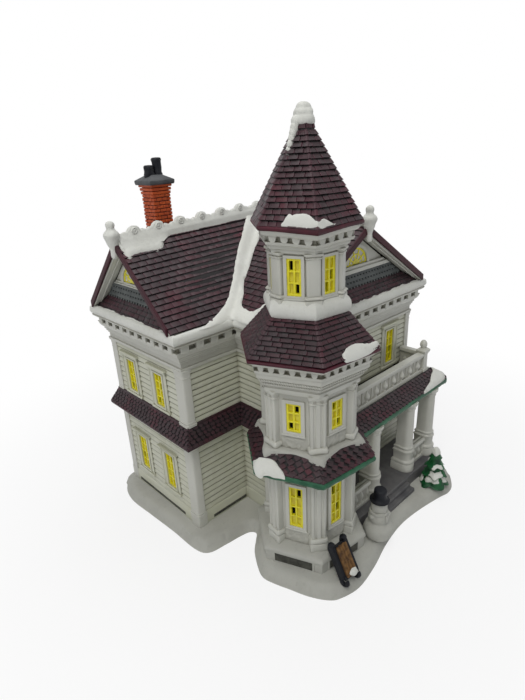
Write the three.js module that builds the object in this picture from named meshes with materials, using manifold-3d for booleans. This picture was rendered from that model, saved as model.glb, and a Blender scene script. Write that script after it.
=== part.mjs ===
// A lighted holiday village house of glazed ceramic: a snow-covered Victorian house with a
// six-sided corner tower, a porch with a balcony, a snowman, a sled and a small tree.
// It is put together from slip-cast pieces and lit by a lamp that clips into the back wall.
// Millimetres, Z up. X runs along the front from left to right and Y runs to the back.
import * as THREE from 'three';
import { mergeVertices } from 'three/addons/utils/BufferGeometryUtils.js';
import Module from 'manifold-3d';

const wasm = await Module();
wasm.setup();

// Plan of the house. Its zero is the near corner of the left wing.
const mainLength = 162.8;
const mainDepth = 77.8;
const wingSetback = 39.6;
const frontDepth = 39;
const wall = 3.5;

// Levels of the house
const snowTop = 7;
const pentBottom = 67.1;
const pentTop = 79.2;
const friezeBottom = 113.8;
const corniceTop = 133.3;
const eaveHeight = 137.2;
const ridgeHeight = 179.4;

// Overhangs, measured outwards from the wall face
const pentOverhang = 6;
const corniceOverhang = 8.2;
const roofFoot = 4.6;
const gableOverhang = 8.7;

// Relief on the walls and roofs
const wallRelief = 0.7;
const trimProud = 1.5;
const capitalProud = 0.9;
const casingProud = 1.1;
const tileLap = 0.9;
const rowLap = 0.7;
const tilePitch = 3.6;
const roofShell = 6.4;
const rakeWidth = 2.4;
const rakeProud = 0.5;
const finialDrop = 7.9;
const gableFinialHeight = 20.1;

// Tower: a hexagon that stands on the front corner of the house. The sizes across are
// apothems, from the axis square to a face.
const towerX = 42.8;
const towerY = -52.2;
const towerTurn = -126.7;
const plinthApothem = 29.3;
const plinthTop = 17.9;
const lowerApothem = 21.5;
const towerHollow = 18;
const skirtApothem = 32.1;
const skirtBottom = 66.8;
const skirtTop = 77.9;
const skirtRidge = 25.2;
const middleTop = 129.2;
const middleEave = 32.3;
const middleRoofTop = 149.3;
const middleRoofNeck = 17.6;
const upperApothem = 16;
const upperHollow = 12.5;
const upperTop = 187.6;
const spireEave = 23.9;
const spireTop = 232.5;
const spireTip = 4;
const finialHeight = 7.8;

// Tower pillars, measured out from the axis along a corner
const lowerPillarReach = 26.3;
const lowerPillarHalf = 4;
const middlePillarReach = 25.8;
const middlePillarHalf = 4;
const upperPillarReach = 18.9;
const upperPillarHalf = 3.3;

// Windows: clear width and height of each opening, and the width of its casing
const houseWindowWidth = 9;
const upperWindowHeight = 21.3;
const upperWindowSill = 83.1;
const lowerWindowHeight = 24.9;
const lowerWindowSill = 24;
const houseCasing = 5.6;
const towerCasing = 2.1;
const lowerTowerWindow = { width: 7.6, height: 24.6, sill: 31, rows: 4 };
const middleTowerWindow = { width: 7.7, height: 16, sill: 90, rows: 3 };
const upperTowerWindow = { width: 5.6, height: 16.2, sill: 160.5, rows: 3 };
const nearWindowY = 25.5;
const farWindowY = 56.5;
const frontWindowX = 140.2;
const frontWindowHeight = 23.5;
const latticeThickness = 1.4;
const latticeBar = 0.8;
const paneDepth = 0.6;
const blindDepth = 0.4;

// Gables: heights as shares of the rise from the eave to the ridge
const gableRise = ridgeHeight - eaveHeight;
const gableSkirtTop = eaveHeight + gableRise * 0.17;
const gableBandTop = eaveHeight + gableRise * 0.393;
const lunetteSill = gableBandTop + 1.6;
const lunetteCasing = 1.6;
const lunetteMargin = 0.5;

// Porch
const porchFloorTop = 14.5;
const porchFloorFront = -72.5;
const porchRight = 164;
const stepLeft = 88;
const stepRight = 118.7;
const stepTread = 2.9;
const stepCount = 3;
const columnY = -65;
const columnRadius = 4.1;
const columnDepth = 6.6;
const leftColumnX = 90;
const middleColumnX = 130;
const rightColumnX = 157;
const porchEaveY = -68.4;
const porchEaveBottom = 66;
const porchEaveTop = 69.4;
const porchDeck = 76.6;
const porchEaveRight = 170;
const balconyRailY = -57;
const balconyRailTop = 90.2;
const balconyPostX = 157;
const railThickness = 2.6;
const doorX = 103.4;
const doorWidth = 13;
const doorHeight = 30;

// Chimney
const chimneyX = 25.2;
const chimneyY = 47.8;
const chimneyWidth = 11.9;
const chimneyDepth = 12.5;
const chimneyTop = 205.6;
const chimneyBand = 0.6;
const chimneyCapReach = 1.5;
const chimneySlab = 2;
const chimneyCapHeight = 3.6;
const tallPotHeight = 11.3;
const shortPotHeight = 7.6;
const potRadius = 1.9;
const potSpread = 2.8;

// Ground pieces
const snowmanX = 70;
const snowmanY = -82.5;
const snowmanWidth = 15.2;
const snowmanHeight = 25.5;
const hatHeight = 7;
const hatBrim = 5.6;
const treeX = 136.5;
const treeY = -83;
const treeHeight = 29;
const treeRadius = 8;
const sledLength = 22;
const sledWidth = 11;
const sledRunner = 4;
const sledLean = 60;

// Lamp: its hole is in the middle of the back wall
const lampHoleX = 81.4;
const lampHoleZ = 29;
const lampHoleRadius = 16;
const lampFlangeRadius = 18.5;
const lampFlangeThickness = 2;
const socketRadius = 9.5;
const socketLength = 22;
const bulbBaseRadius = 6;
const bulbBaseLength = 15;
const bulbRadius = 10.5;
const bulbLength = 40;

// Clearances
const gap = 0.3;
const socketClearance = 0.3;
const fingerReach = lampHoleRadius - 1;

const housePlan = [
  [0, 0],
  [wingSetback, 0],
  [wingSetback, -frontDepth],
  [mainLength, -frontDepth],
  [mainLength, mainDepth],
  [0, mainDepth],
];
const [sideWall, towerWall, frontWall, rightWall, backWall, leftWall] = housePlan.keys();
const frontRidgeX = (wingSetback + mainLength) / 2;
const mainRidgeY = mainDepth / 2;

// The lunettes are as large as the steeper roof leaves room for, inside their casing.
const steepestSlope = gableRise / (mainDepth / 2 + roofFoot);
const lunetteRoom = (ridgeHeight - roofShell - 0.45 - lunetteSill) / Math.hypot(1, steepestSlope);
const lunetteRadius = lunetteRoom - lunetteCasing - lunetteMargin;

// Turns a closed three.js geometry into a solid for the boolean cuts and joins.
function solidOf(geometry) {
  const bare = new THREE.BufferGeometry();
  bare.setAttribute('position', geometry.getAttribute('position').clone());
  if (geometry.index) {
    bare.setIndex(geometry.index.clone());
  }
  const merged = mergeVertices(bare, 1e-4);
  const index = merged.index.array;
  const position = merged.getAttribute('position').array;
  const corner = (i) => new THREE.Vector3().fromArray(position, 3 * i);
  const triangles = [];
  let volume = 0;
  for (let i = 0; i < index.length; i += 3) {
    const [a, b, c] = [index[i], index[i + 1], index[i + 2]];
    if (a !== b && b !== c && c !== a) {
      triangles.push([a, b, c]);
      volume += corner(a).dot(corner(b).cross(corner(c)));
    }
  }
  const ordered = volume < 0 ? triangles.map(([a, b, c]) => [a, c, b]) : triangles;
  return new wasm.Manifold(new wasm.Mesh({
    numProp: 3,
    vertProperties: new Float32Array(position),
    triVerts: new Uint32Array(ordered.flat()),
  }));
}

// Turns a solid back into a geometry that a mesh can show.
function geometryOf(solid) {
  const mesh = solid.getMesh();
  const geometry = new THREE.BufferGeometry();
  geometry.setAttribute('position', new THREE.BufferAttribute(mesh.vertProperties, 3));
  geometry.setIndex(new THREE.BufferAttribute(mesh.triVerts, 1));
  geometry.computeVertexNormals();
  return geometry;
}

const join = (...solids) => solids.flat().reduce((sum, solid) => sum.add(solid));
const cut = (solid, ...tools) => tools.flat().reduce((rest, tool) => rest.subtract(tool), solid);
const moved = (solid, matrix) => solidOf(geometryOf(solid).applyMatrix4(matrix));
const shifted = (solid, x, y, z) => moved(solid, new THREE.Matrix4().makeTranslation(x, y, z));

function box(x0, x1, y0, y1, z0, z1) {
  const geometry = new THREE.BoxGeometry(x1 - x0, y1 - y0, z1 - z0);
  geometry.translate((x0 + x1) / 2, (y0 + y1) / 2, (z0 + z1) / 2);
  return solidOf(geometry);
}

const outlineOf = (points) => new THREE.Shape(points.map(([x, y]) => new THREE.Vector2(x, y)));

function extruded(outline, depth, basis, origin, curveSegments = 6) {
  const shape = Array.isArray(outline) ? outlineOf(outline) : outline;
  const geometry = new THREE.ExtrudeGeometry(shape, { depth, bevelEnabled: false, curveSegments });
  geometry.applyMatrix4(basis);
  geometry.translate(...origin);
  return solidOf(geometry);
}

const axisX = new THREE.Vector3(1, 0, 0);
const axisY = new THREE.Vector3(0, 1, 0);
const axisZ = new THREE.Vector3(0, 0, 1);
const sectionYZ = new THREE.Matrix4().makeBasis(axisY, axisZ, axisX);
const sectionXZ = new THREE.Matrix4().makeBasis(axisX, axisZ, axisY.clone().negate());
const sectionXY = new THREE.Matrix4();

// Prisms: an outline in YZ run along X, one in XZ run along Y, and one in XY run up Z.
const alongX = (outline, x0, x1) => extruded(outline, x1 - x0, sectionYZ, [x0, 0, 0]);
const alongY = (outline, y0, y1, facets) => extruded(outline, y1 - y0, sectionXZ, [0, y1, 0], facets);
const alongZ = (outline, z0, z1) => extruded(outline, z1 - z0, sectionXY, [0, 0, z0]);

// Turns a profile of [radius, height] points about Z.
function turned(profile, segments, start = 0) {
  const points = profile.map(([radius, height]) => new THREE.Vector2(radius, height));
  const geometry = new THREE.LatheGeometry(points, segments, start + Math.PI / 2);
  geometry.rotateX(Math.PI / 2);
  return solidOf(geometry);
}

// Mitre directions of a closed plan: how far each corner moves for one unit of outset.
function mitresOf(plan) {
  const outward = (from, to) => {
    const run = new THREE.Vector2(to[0] - from[0], to[1] - from[1]).normalize();
    return new THREE.Vector2(run.y, -run.x);
  };
  return plan.map((point, i) => {
    const before = outward(plan.at(i - 1), point);
    const after = outward(point, plan[(i + 1) % plan.length]);
    const share = 1 / (1 + before.dot(after));
    return [(before.x + after.x) * share, (before.y + after.y) * share];
  });
}

function outset(plan, distance) {
  const mitres = mitresOf(plan);
  return plan.map(([x, y], i) => [x + mitres[i][0] * distance, y + mitres[i][1] * distance]);
}

// Carries a closed profile of [outset, height] points round a plan, with mitred corners.
function sweptRing(plan, profile) {
  const mitres = mitresOf(plan);
  const positions = [];
  const index = [];
  const rings = plan.length;
  const steps = profile.length;
  plan.forEach(([x, y], i) => {
    for (const [distance, height] of profile) {
      positions.push(x + mitres[i][0] * distance, y + mitres[i][1] * distance, height);
    }
    for (let j = 0; j < steps; j += 1) {
      const a = i * steps + j;
      const b = ((i + 1) % rings) * steps + j;
      const c = ((i + 1) % rings) * steps + ((j + 1) % steps);
      const d = i * steps + ((j + 1) % steps);
      index.push(a, b, c, a, c, d);
    }
  });
  const geometry = new THREE.BufferGeometry();
  geometry.setAttribute('position', new THREE.Float32BufferAttribute(positions, 3));
  geometry.setIndex(index);
  return solidOf(geometry);
}

// Lofts between level outlines that have the same number of points, with flat ends.
function lofted(levels) {
  const positions = [];
  const index = [];
  const count = levels[0].points.length;
  levels.forEach(({ points, height }, i) => {
    for (const [x, y] of points) {
      positions.push(x, y, height);
    }
    if (i > 0) {
      for (let j = 0; j < count; j += 1) {
        const a = (i - 1) * count + j;
        const b = (i - 1) * count + ((j + 1) % count);
        index.push(a, b, b + count, a, b + count, a + count);
      }
    }
  });
  const endOf = (points) => THREE.ShapeUtils.triangulateShape(
    points.map(([x, y]) => new THREE.Vector2(x, y)),
    [],
  );
  const last = (levels.length - 1) * count;
  for (const [a, b, c] of endOf(levels[0].points)) {
    index.push(a, c, b);
  }
  for (const [a, b, c] of endOf(levels.at(-1).points)) {
    index.push(last + a, last + b, last + c);
  }
  const geometry = new THREE.BufferGeometry();
  geometry.setAttribute('position', new THREE.Float32BufferAttribute(positions, 3));
  geometry.setIndex(index);
  return solidOf(geometry);
}

// A slope of overlapping rows between two points of a profile, each row's lower edge proud.
function rowsBetween([u0, z0], [u1, z1], rows, lap) {
  const run = new THREE.Vector2(u1 - u0, z1 - z0);
  const normal = new THREE.Vector2(run.y, -run.x).normalize();
  const side = Math.sign(normal.y) || 1;
  const points = [];
  for (let i = 0; i < rows; i += 1) {
    const low = i / rows;
    const high = (i + 1) / rows;
    points.push([
      u0 + run.x * low + normal.x * lap * side,
      z0 + run.y * low + normal.y * lap * side,
    ]);
    points.push([u0 + run.x * high, z0 + run.y * high]);
  }
  return points;
}

// Frame of a house wall: local X runs along the wall, Y points into the house.
function onWall(edge, along, height) {
  const [x0, y0] = housePlan[edge];
  const [x1, y1] = housePlan[(edge + 1) % housePlan.length];
  const angle = Math.atan2(y1 - y0, x1 - x0);
  const matrix = new THREE.Matrix4().makeRotationZ(angle);
  matrix.setPosition(x0 + Math.cos(angle) * along, y0 + Math.sin(angle) * along, height);
  return matrix;
}

const wallLength = (edge) => {
  const [x0, y0] = housePlan[edge];
  const [x1, y1] = housePlan[(edge + 1) % housePlan.length];
  return Math.hypot(x1 - x0, y1 - y0);
};

const degrees = Math.PI / 180;
const hexRatio = Math.cos(30 * degrees);
const cornerAngles = { far: -120, left: -60, near: 0, right: 60, porch: 120 };
const faceAngles = { wing: -90, left: -30, front: 30, porch: 90 };

// Frame of the tower: local Y points at the axis, from a face or a corner.
function onTower(angle, height) {
  const matrix = new THREE.Matrix4().makeRotationZ((towerTurn + angle + 90) * degrees);
  matrix.setPosition(towerX, towerY, height);
  return matrix;
}

const towerPlan = [0, 1, 2, 3, 4, 5].map((i) => {
  const angle = (towerTurn + 60 * i) * degrees;
  const reach = lowerApothem / hexRatio;
  return [towerX + reach * Math.cos(angle), towerY + reach * Math.sin(angle)];
});

// A hexagonal ring from [apothem, height] points, and a filled hexagonal stack.
const hexRing = (profile) => sweptRing(
  towerPlan,
  profile.map(([apothem, height]) => [apothem - lowerApothem, height]),
);
const hexPrism = (apothem, z0, z1) => alongZ(outset(towerPlan, apothem - lowerApothem), z0, z1);
const hexLoft = (profile) => lofted(profile.map(([apothem, height]) => ({
  points: outset(towerPlan, apothem - lowerApothem),
  height,
})));

// Pillar on a tower corner: block, half-round ring, shaft and capital.
function pillar(angle, { reach, half, z0, z1, block, ring, capital, root }) {
  const proud = 0.8;
  const wide = half + 0.7;
  const shaft = box(-half, half, -reach, -root, z0, z1);
  const ringBottom = z0 + block;
  const ringProfile = [
    [-root, z0],
    [-reach - proud, z0],
    [-reach - proud, ringBottom + ring * 0.4],
    [-reach + 0.2, ringBottom + ring],
    [-root, ringBottom + ring],
  ];
  const capitalProfile = [
    [-root, z1 - capital],
    [-reach, z1 - capital],
    [-reach - proud, z1 - capital * 0.4],
    [-reach - proud, z1],
    [-root, z1],
  ];
  const whole = join(
    shaft,
    alongX(ringProfile, -wide, wide),
    alongX(capitalProfile, -wide, wide),
  );
  return moved(whole, onTower(angle, 0));
}

// Casing of a window, its sill and hood, and the hole through the wall, all in the frame of
// the wall with zero at the middle of the opening's lower edge.
function casing({ width, height, side, proud, hood = 0 }) {
  const half = width / 2;
  const parts = [
    box(-half - side, half + side, -proud, wall / 2, -side * 0.6, height + side * 0.6),
    box(-half - side - 0.6, half + side + 0.6, -proud - 0.6, wall / 2, -side * 0.6, -side * 0.6 + 1.2),
  ];
  if (hood > 0) {
    const top = height + side * 0.6;
    parts.push(box(-half - side - 0.8, half + side + 0.8, -proud - 0.9, wall / 2, top - 0.6, top + hood));
  }
  return join(parts);
}

const openingOf = ({ width, height }) => box(-width / 2, width / 2, -wall * 2, wall * 3, 0, height);

// Window lattice: a plate with sunk panes between raised bars, a few of them pierced.
function lattice({ width, height, rows, pierced }) {
  const half = width / 2 - gap;
  const plate = box(-half, half, 0, latticeThickness, gap, height - gap);
  const columns = 2;
  const paneWidth = (2 * half - latticeBar * (columns + 1)) / columns;
  const paneHeight = (height - 2 * gap - latticeBar * (rows + 1)) / rows;
  const panes = [];
  for (let column = 0; column < columns; column += 1) {
    for (let row = 0; row < rows; row += 1) {
      const x = -half + latticeBar + column * (paneWidth + latticeBar);
      const z = gap + latticeBar + row * (paneHeight + latticeBar);
      const open = pierced.some(([c, r]) => c === column && r === row);
      const depth = open ? latticeThickness + 1 : paneDepth;
      panes.push(box(x, x + paneWidth, -1, depth, z, z + paneHeight));
    }
  }
  return cut(plate, join(panes));
}

function halfDisc(radius, y0, y1) {
  const shape = new THREE.Shape();
  shape.moveTo(-radius, 0);
  shape.lineTo(radius, 0);
  shape.absarc(0, 0, radius, 0, Math.PI, false);
  return alongY(shape, y0, y1, 12);
}

// Half-round lunette: panes sunk between a hub and spokes.
function lunette(radius) {
  const outer = radius - gap;
  const plate = shifted(halfDisc(outer, 0, latticeThickness), 0, 0, gap);
  const hub = outer * 0.3;
  const rim = outer - 1.1;
  const sectors = [];
  const sectorCount = 5;
  const spoke = 0.07;
  for (let i = 0; i < sectorCount; i += 1) {
    const from = Math.PI * (i / sectorCount) + spoke;
    const to = Math.PI * ((i + 1) / sectorCount) - spoke;
    const shape = new THREE.Shape();
    shape.absarc(0, gap, rim, from, to, false);
    shape.absarc(0, gap, hub, to, from, true);
    sectors.push(alongY(shape, -1, i === 3 ? latticeThickness + 1 : paneDepth, 2));
  }
  return cut(plate, join(sectors));
}

// Roof sections. A roof is a chevron over its span, with rows of tiles on both slopes.
const mainRoof = { centre: mainRidgeY, half: mainDepth / 2 + roofFoot };
const frontRoof = { centre: frontRidgeX, half: (mainLength - wingSetback) / 2 + roofFoot };

function innerFoot({ half }) {
  const slope = (ridgeHeight - eaveHeight) / half;
  return half - (corniceTop - eaveHeight + roofShell) / slope;
}

function shellSection(roof, lap) {
  const { centre, half } = roof;
  const rows = Math.round(Math.hypot(half, ridgeHeight - eaveHeight) / tilePitch);
  const rising = lap > 0
    ? rowsBetween([-half, eaveHeight], [0, ridgeHeight], rows, lap)
    : [[-half, eaveHeight], [0, ridgeHeight]];
  const falling = rising.map(([u, z]) => [-u, z]).reverse();
  const foot = innerFoot(roof);
  const section = [
    [-half, corniceTop],
    ...rising,
    ...falling.slice(1),
    [half, corniceTop],
    [foot, corniceTop],
    [0, ridgeHeight - roofShell],
    [-foot, corniceTop],
  ];
  return section.map(([u, z]) => [u + centre, z]);
}

// The space under a roof's outer face, down to a level. The raise is square to the slope.
function fillSection({ centre, half }, raise, bottom) {
  const slope = Math.hypot(half, ridgeHeight - eaveHeight);
  const foot = half + raise * (ridgeHeight - eaveHeight) / slope;
  const footHeight = eaveHeight + raise * half / slope;
  return [
    [centre - foot, bottom],
    [centre - foot, footHeight],
    [centre, ridgeHeight + raise * slope / half],
    [centre + foot, footHeight],
    [centre + foot, bottom],
  ];
}

function atticSection(roof, lower) {
  const foot = innerFoot(roof) - lower;
  return [
    [roof.centre - foot, corniceTop],
    [roof.centre + foot, corniceTop],
    [roof.centre, ridgeHeight - roofShell - lower],
  ];
}

function rakeSection(roof) {
  const { centre, half } = roof;
  const raise = tileLap + rakeProud;
  const drop = roofShell + 1;
  return [
    [centre - half - 0.4, corniceTop],
    [centre - half - 0.4, eaveHeight + raise],
    [centre, ridgeHeight + raise],
    [centre + half + 0.4, eaveHeight + raise],
    [centre + half + 0.4, corniceTop],
    [centre + half - 3, corniceTop],
    [centre, ridgeHeight - drop],
    [centre - half + 3, corniceTop],
  ];
}

const lowerPillar = {
  reach: lowerPillarReach,
  half: lowerPillarHalf,
  z0: plinthTop,
  z1: skirtBottom,
  block: 4.5,
  ring: 3.2,
  capital: 6,
  root: lowerApothem - 1.5,
};
const middlePillar = {
  reach: middlePillarReach,
  half: middlePillarHalf,
  z0: skirtTop,
  z1: middleTop - 13.7,
  block: 5.2,
  ring: 3.4,
  capital: 5,
  root: lowerApothem - 1.5,
};
const upperPillar = {
  reach: upperPillarReach,
  half: upperPillarHalf,
  z0: middleRoofTop + 7.3,
  z1: upperTop - 13.6,
  block: 1.4,
  ring: 2,
  capital: 3.6,
  root: upperApothem - 1.5,
};

const plinthProfile = [
  [plinthApothem - 0.9, snowTop],
  [plinthApothem - 0.9, plinthTop - 4],
  [plinthApothem, plinthTop - 3.4],
  [plinthApothem, plinthTop - 1.8],
  [plinthApothem - 1.6, plinthTop - 0.5],
  [plinthApothem - 3, plinthTop],
];
const skirtSlope = rowsBetween([skirtApothem, skirtBottom + 3.7], [skirtRidge, skirtTop - 0.5], 4, 0.7);
const middleCornice = [
  [lowerApothem, middleTop - 14.4],
  [lowerApothem + 1.1, middleTop - 13.8],
  [lowerApothem + 1.1, middleTop - 12.2],
  [lowerApothem + 2.9, middleTop - 10.8],
  [lowerApothem + 2.9, middleTop - 8.8],
  [lowerApothem + 4.9, middleTop - 7.8],
  [lowerApothem + 4.9, middleTop - 5.6],
  [lowerApothem + 6.1, middleTop - 5.1],
  [lowerApothem + 6.1, middleTop - 1.3],
  [middleEave - 2.1, middleTop - 1],
  [middleEave - 2.1, middleTop],
];
const middleSlope = rowsBetween(
  [middleEave, middleTop + 2.4],
  [middleRoofNeck, middleRoofTop - 0.6],
  9,
  0.8,
);
const upperFoot = [
  [upperApothem + 2.8, middleRoofTop],
  [upperApothem + 3.6, middleRoofTop + 1.6],
  [upperApothem + 3.6, middleRoofTop + 4.6],
  [upperApothem + 2.9, middleRoofTop + 6.4],
  [upperApothem + 1.2, middleRoofTop + 7.8],
  [upperApothem, middleRoofTop + 8.2],
];
const upperCornice = [
  [upperApothem, upperTop - 14.2],
  [upperApothem + 1, upperTop - 13.6],
  [upperApothem + 1, upperTop - 12],
  [upperApothem + 2.6, upperTop - 10.2],
  [upperApothem + 2.6, upperTop - 7.6],
  [upperApothem + 4.2, upperTop - 6.2],
  [upperApothem + 4.2, upperTop - 1.8],
  [spireEave - 0.5, upperTop - 1.4],
  [spireEave - 0.5, upperTop],
];
const spireSlope = rowsBetween([spireEave, upperTop + 1.9], [spireTip + 0.6, spireTop - 5.5], 15, 0.7);

const cornersOut = Object.values(cornerAngles);
const towerFill = join(
  hexLoft(plinthProfile),
  hexPrism(lowerApothem, plinthTop - 1, skirtTop + 1),
  cornersOut.map((angle) => pillar(angle, lowerPillar)),
  hexLoft([[skirtApothem, skirtBottom], ...skirtSlope, [skirtRidge - 0.4, skirtTop]]),
  hexLoft([[lowerApothem, skirtTop - 1], ...middleCornice]),
  cornersOut.map((angle) => pillar(angle, middlePillar)),
  hexLoft([[middleEave, middleTop], ...middleSlope, [middleRoofNeck - 0.3, middleRoofTop]]),
  hexLoft([...upperFoot, ...upperCornice]),
  cornersOut.map((angle) => pillar(angle, upperPillar)),
);

// The tower a little enlarged. The house is cut by it, so that a gap is left round the tower.
const towerShadow = (() => {
  const growth = 1 + gap / lowerApothem;
  const grow = new THREE.Matrix4().makeTranslation(towerX, towerY, 0);
  grow.multiply(new THREE.Matrix4().makeScale(growth, growth, 1));
  grow.multiply(new THREE.Matrix4().makeTranslation(-towerX, -towerY, 0));
  const grown = moved(towerFill, grow);
  const above = shifted(grown, 0, 0, gap);
  const below = shifted(grown, 0, 0, -gap);
  return join(grown, above, below, hexPrism(plinthApothem, -1, snowTop));
})();

const houseInterior = (z0, z1) => alongZ(outset(housePlan, -wall), z0, z1);
const ledgeHeight = 2.7;
const ledgeClearance = sweptRing(housePlan, [
  [roofFoot, corniceTop - 1],
  [corniceOverhang + 1, corniceTop - 1],
  [corniceOverhang + 1, corniceTop + ledgeHeight + gap],
  [roofFoot, corniceTop + ledgeHeight + gap],
]);

// Corner pilasters of a storey, each with a base and a capital.
function cornerPilasters(z0, z1, base) {
  const wideY = 7.8;
  const wideX = 5.2;
  const proud = trimProud;
  const capital = 4;
  const corners = [
    [0, 0, 1, 1],
    [mainLength, -frontDepth, -1, 1],
    [mainLength, mainDepth, -1, -1],
    [0, mainDepth, 1, -1],
  ];
  return corners.map(([x, y, sx, sy]) => {
    const block = (extra, low, high) => {
      const xs = [x - sx * (proud + extra), x + sx * (wideX + extra)].sort((a, b) => a - b);
      const ys = [y - sy * (proud + extra), y + sy * (wideY + extra)].sort((a, b) => a - b);
      return box(xs[0], xs[1], ys[0], ys[1], low, high);
    };
    return join(
      block(0, z0, z1),
      block(0.8, z0, z0 + base),
      block(capitalProud, z1 - capital, z1),
    );
  });
}

const upperWindow = {
  width: houseWindowWidth,
  height: upperWindowHeight,
  side: houseCasing,
  proud: trimProud,
  hood: 1.6,
};
const lowerWindow = {
  width: houseWindowWidth,
  height: lowerWindowHeight,
  side: houseCasing,
  proud: trimProud,
};
const frontWindow = {
  width: houseWindowWidth,
  height: frontWindowHeight,
  side: houseCasing,
  proud: trimProud,
};
const leftNear = wallLength(leftWall) - nearWindowY;
const leftFar = wallLength(leftWall) - farWindowY;
const rightNear = frontDepth + nearWindowY;
const rightFar = frontDepth + farWindowY;

const lampCentre = () => new THREE.Matrix4().makeTranslation(lampHoleX, mainDepth, lampHoleZ);
const alongLamp = new THREE.Matrix4().makeRotationX(-Math.PI / 2);

// Turned piece on the lamp's axis. Its height runs from the back wall's face to the outside.
const onLampAxis = (profile, segments) => {
  const matrix = lampCentre().multiply(alongLamp);
  return moved(turned(profile, segments), matrix);
};

function lowerWalls() {
  const ring = alongZ(outset(housePlan, wallRelief), snowTop, pentBottom);
  const doorFrame = moved(
    casing({ width: doorWidth, height: doorHeight, side: 3.2, proud: trimProud, hood: 1.6 }),
    onWall(frontWall, doorX - wingSetback, porchFloorTop + 2),
  );
  const doorHole = moved(
    openingOf({ width: doorWidth, height: doorHeight }),
    onWall(frontWall, doorX - wingSetback, porchFloorTop + 2),
  );
  const frames = [leftNear, leftFar].map((along) => moved(
    casing(lowerWindow),
    onWall(leftWall, along, lowerWindowSill),
  ));
  const blind = [rightNear, rightFar].map((along) => moved(
    casing(lowerWindow),
    onWall(rightWall, along, lowerWindowSill),
  ));
  const blindHoles = [rightNear, rightFar].map((along) => moved(
    box(-houseWindowWidth / 2, houseWindowWidth / 2, -wall * 2, blindDepth, 0, lowerWindowHeight),
    onWall(rightWall, along, lowerWindowSill),
  ));
  const holes = [leftNear, leftFar].map((along) => moved(
    openingOf(lowerWindow),
    onWall(leftWall, along, lowerWindowSill),
  ));
  const boss = onLampAxis([
    [0, -wall],
    [lampFlangeRadius + 1.5, -wall],
    [lampFlangeRadius + 1.5, wallRelief + 0.3],
    [0, wallRelief + 0.3],
  ], 24);
  const lampHole = onLampAxis([
    [0, -wall * 2],
    [lampHoleRadius, -wall * 2],
    [lampHoleRadius, wall],
    [0, wall],
  ], 24);
  const vents = [
    moved(box(-14, 14, -wall, 0.3, 0, 2.2), onWall(leftWall, wallLength(leftWall) / 2, snowTop + 1.6)),
    moved(box(-13, 13, -wall, 0.3, 0, 2.2), onWall(sideWall, wingSetback / 2, snowTop + 1.6)),
  ];
  const body = join(ring, cornerPilasters(snowTop, pentBottom, 5), doorFrame, frames, blind, boss);
  return cut(
    body,
    houseInterior(snowTop - 1, pentBottom + 1),
    holes,
    blindHoles,
    doorHole,
    lampHole,
    vents,
    towerShadow,
  );
}

function pentRoof() {
  const slope = rowsBetween([pentOverhang, pentBottom + 2.6], [0.9, pentTop - 0.8], 4, 0.7);
  const ring = sweptRing(housePlan, [
    [-wall, pentBottom],
    [pentOverhang, pentBottom],
    ...slope,
    [0, pentTop],
    [-wall, pentTop],
  ]);
  const porchSpace = box(towerX, mainLength + pentOverhang + 3, porchEaveY, -frontDepth - gap, 60, 82);
  return cut(ring, porchSpace, towerShadow);
}

function upperWalls() {
  const ring = alongZ(outset(housePlan, wallRelief), pentTop, friezeBottom);
  const frames = [leftNear, leftFar].map((along) => moved(
    casing(upperWindow),
    onWall(leftWall, along, upperWindowSill),
  ));
  const blind = [rightNear, rightFar].map((along) => moved(
    casing(upperWindow),
    onWall(rightWall, along, upperWindowSill),
  ));
  const blindHoles = [rightNear, rightFar].map((along) => moved(
    box(-houseWindowWidth / 2, houseWindowWidth / 2, -wall * 2, blindDepth, 0, upperWindowHeight),
    onWall(rightWall, along, upperWindowSill),
  ));
  const frontAlong = frontWindowX - wingSetback;
  const holes = [
    ...[leftNear, leftFar].map((along) => moved(
      openingOf(upperWindow),
      onWall(leftWall, along, upperWindowSill),
    )),
    moved(openingOf(frontWindow), onWall(frontWall, frontAlong, upperWindowSill)),
  ];
  const front = moved(casing(frontWindow), onWall(frontWall, frontAlong, upperWindowSill));
  const room = houseInterior(pentTop - 1, friezeBottom + 1);
  const span = alongZ(outset(housePlan, corniceOverhang), pentTop, friezeBottom);
  const pilasters = cornerPilasters(pentTop, friezeBottom, 2.4);
  const body = join(ring, pilasters, frames, blind, front).intersect(span);
  return cut(body, room, holes, blindHoles, towerShadow);
}

function cornice() {
  const ring = sweptRing(housePlan, [
    [-wall, friezeBottom],
    [1.7, friezeBottom],
    [1.7, friezeBottom + 1.4],
    [0.9, friezeBottom + 1.8],
    [0.9, friezeBottom + 7.4],
    [3.8, friezeBottom + 11.2],
    [3.8, corniceTop - 3.4],
    [corniceOverhang - 0.8, corniceTop - 3],
    [corniceOverhang, corniceTop - 2],
    [corniceOverhang, corniceTop + 0.9],
    [corniceOverhang - 1.6, corniceTop + ledgeHeight],
    [roofFoot + gap, corniceTop + ledgeHeight],
    [roofFoot + gap, corniceTop],
    [-wall, corniceTop],
  ]);
  const blockPitch = 11;
  const blockWidth = 6;
  const blocks = housePlan.flatMap((_, edge) => {
    if (edge === backWall) {
      return [];
    }
    const convexEnd = edge === towerWall ? -1 : 1;
    const length = wallLength(edge);
    const count = Math.max(1, Math.round((length + convexEnd * 4) / blockPitch));
    return Array.from({ length: count }, (_unused, i) => {
      const along = length * (i + 0.5) / count;
      return moved(
        box(-blockWidth / 2, blockWidth / 2, -6.2, -3.5, corniceTop - 6.4, corniceTop - 3.1),
        onWall(edge, along, 0),
      );
    });
  });
  return cut(join(ring, blocks), towerShadow);
}

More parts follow.
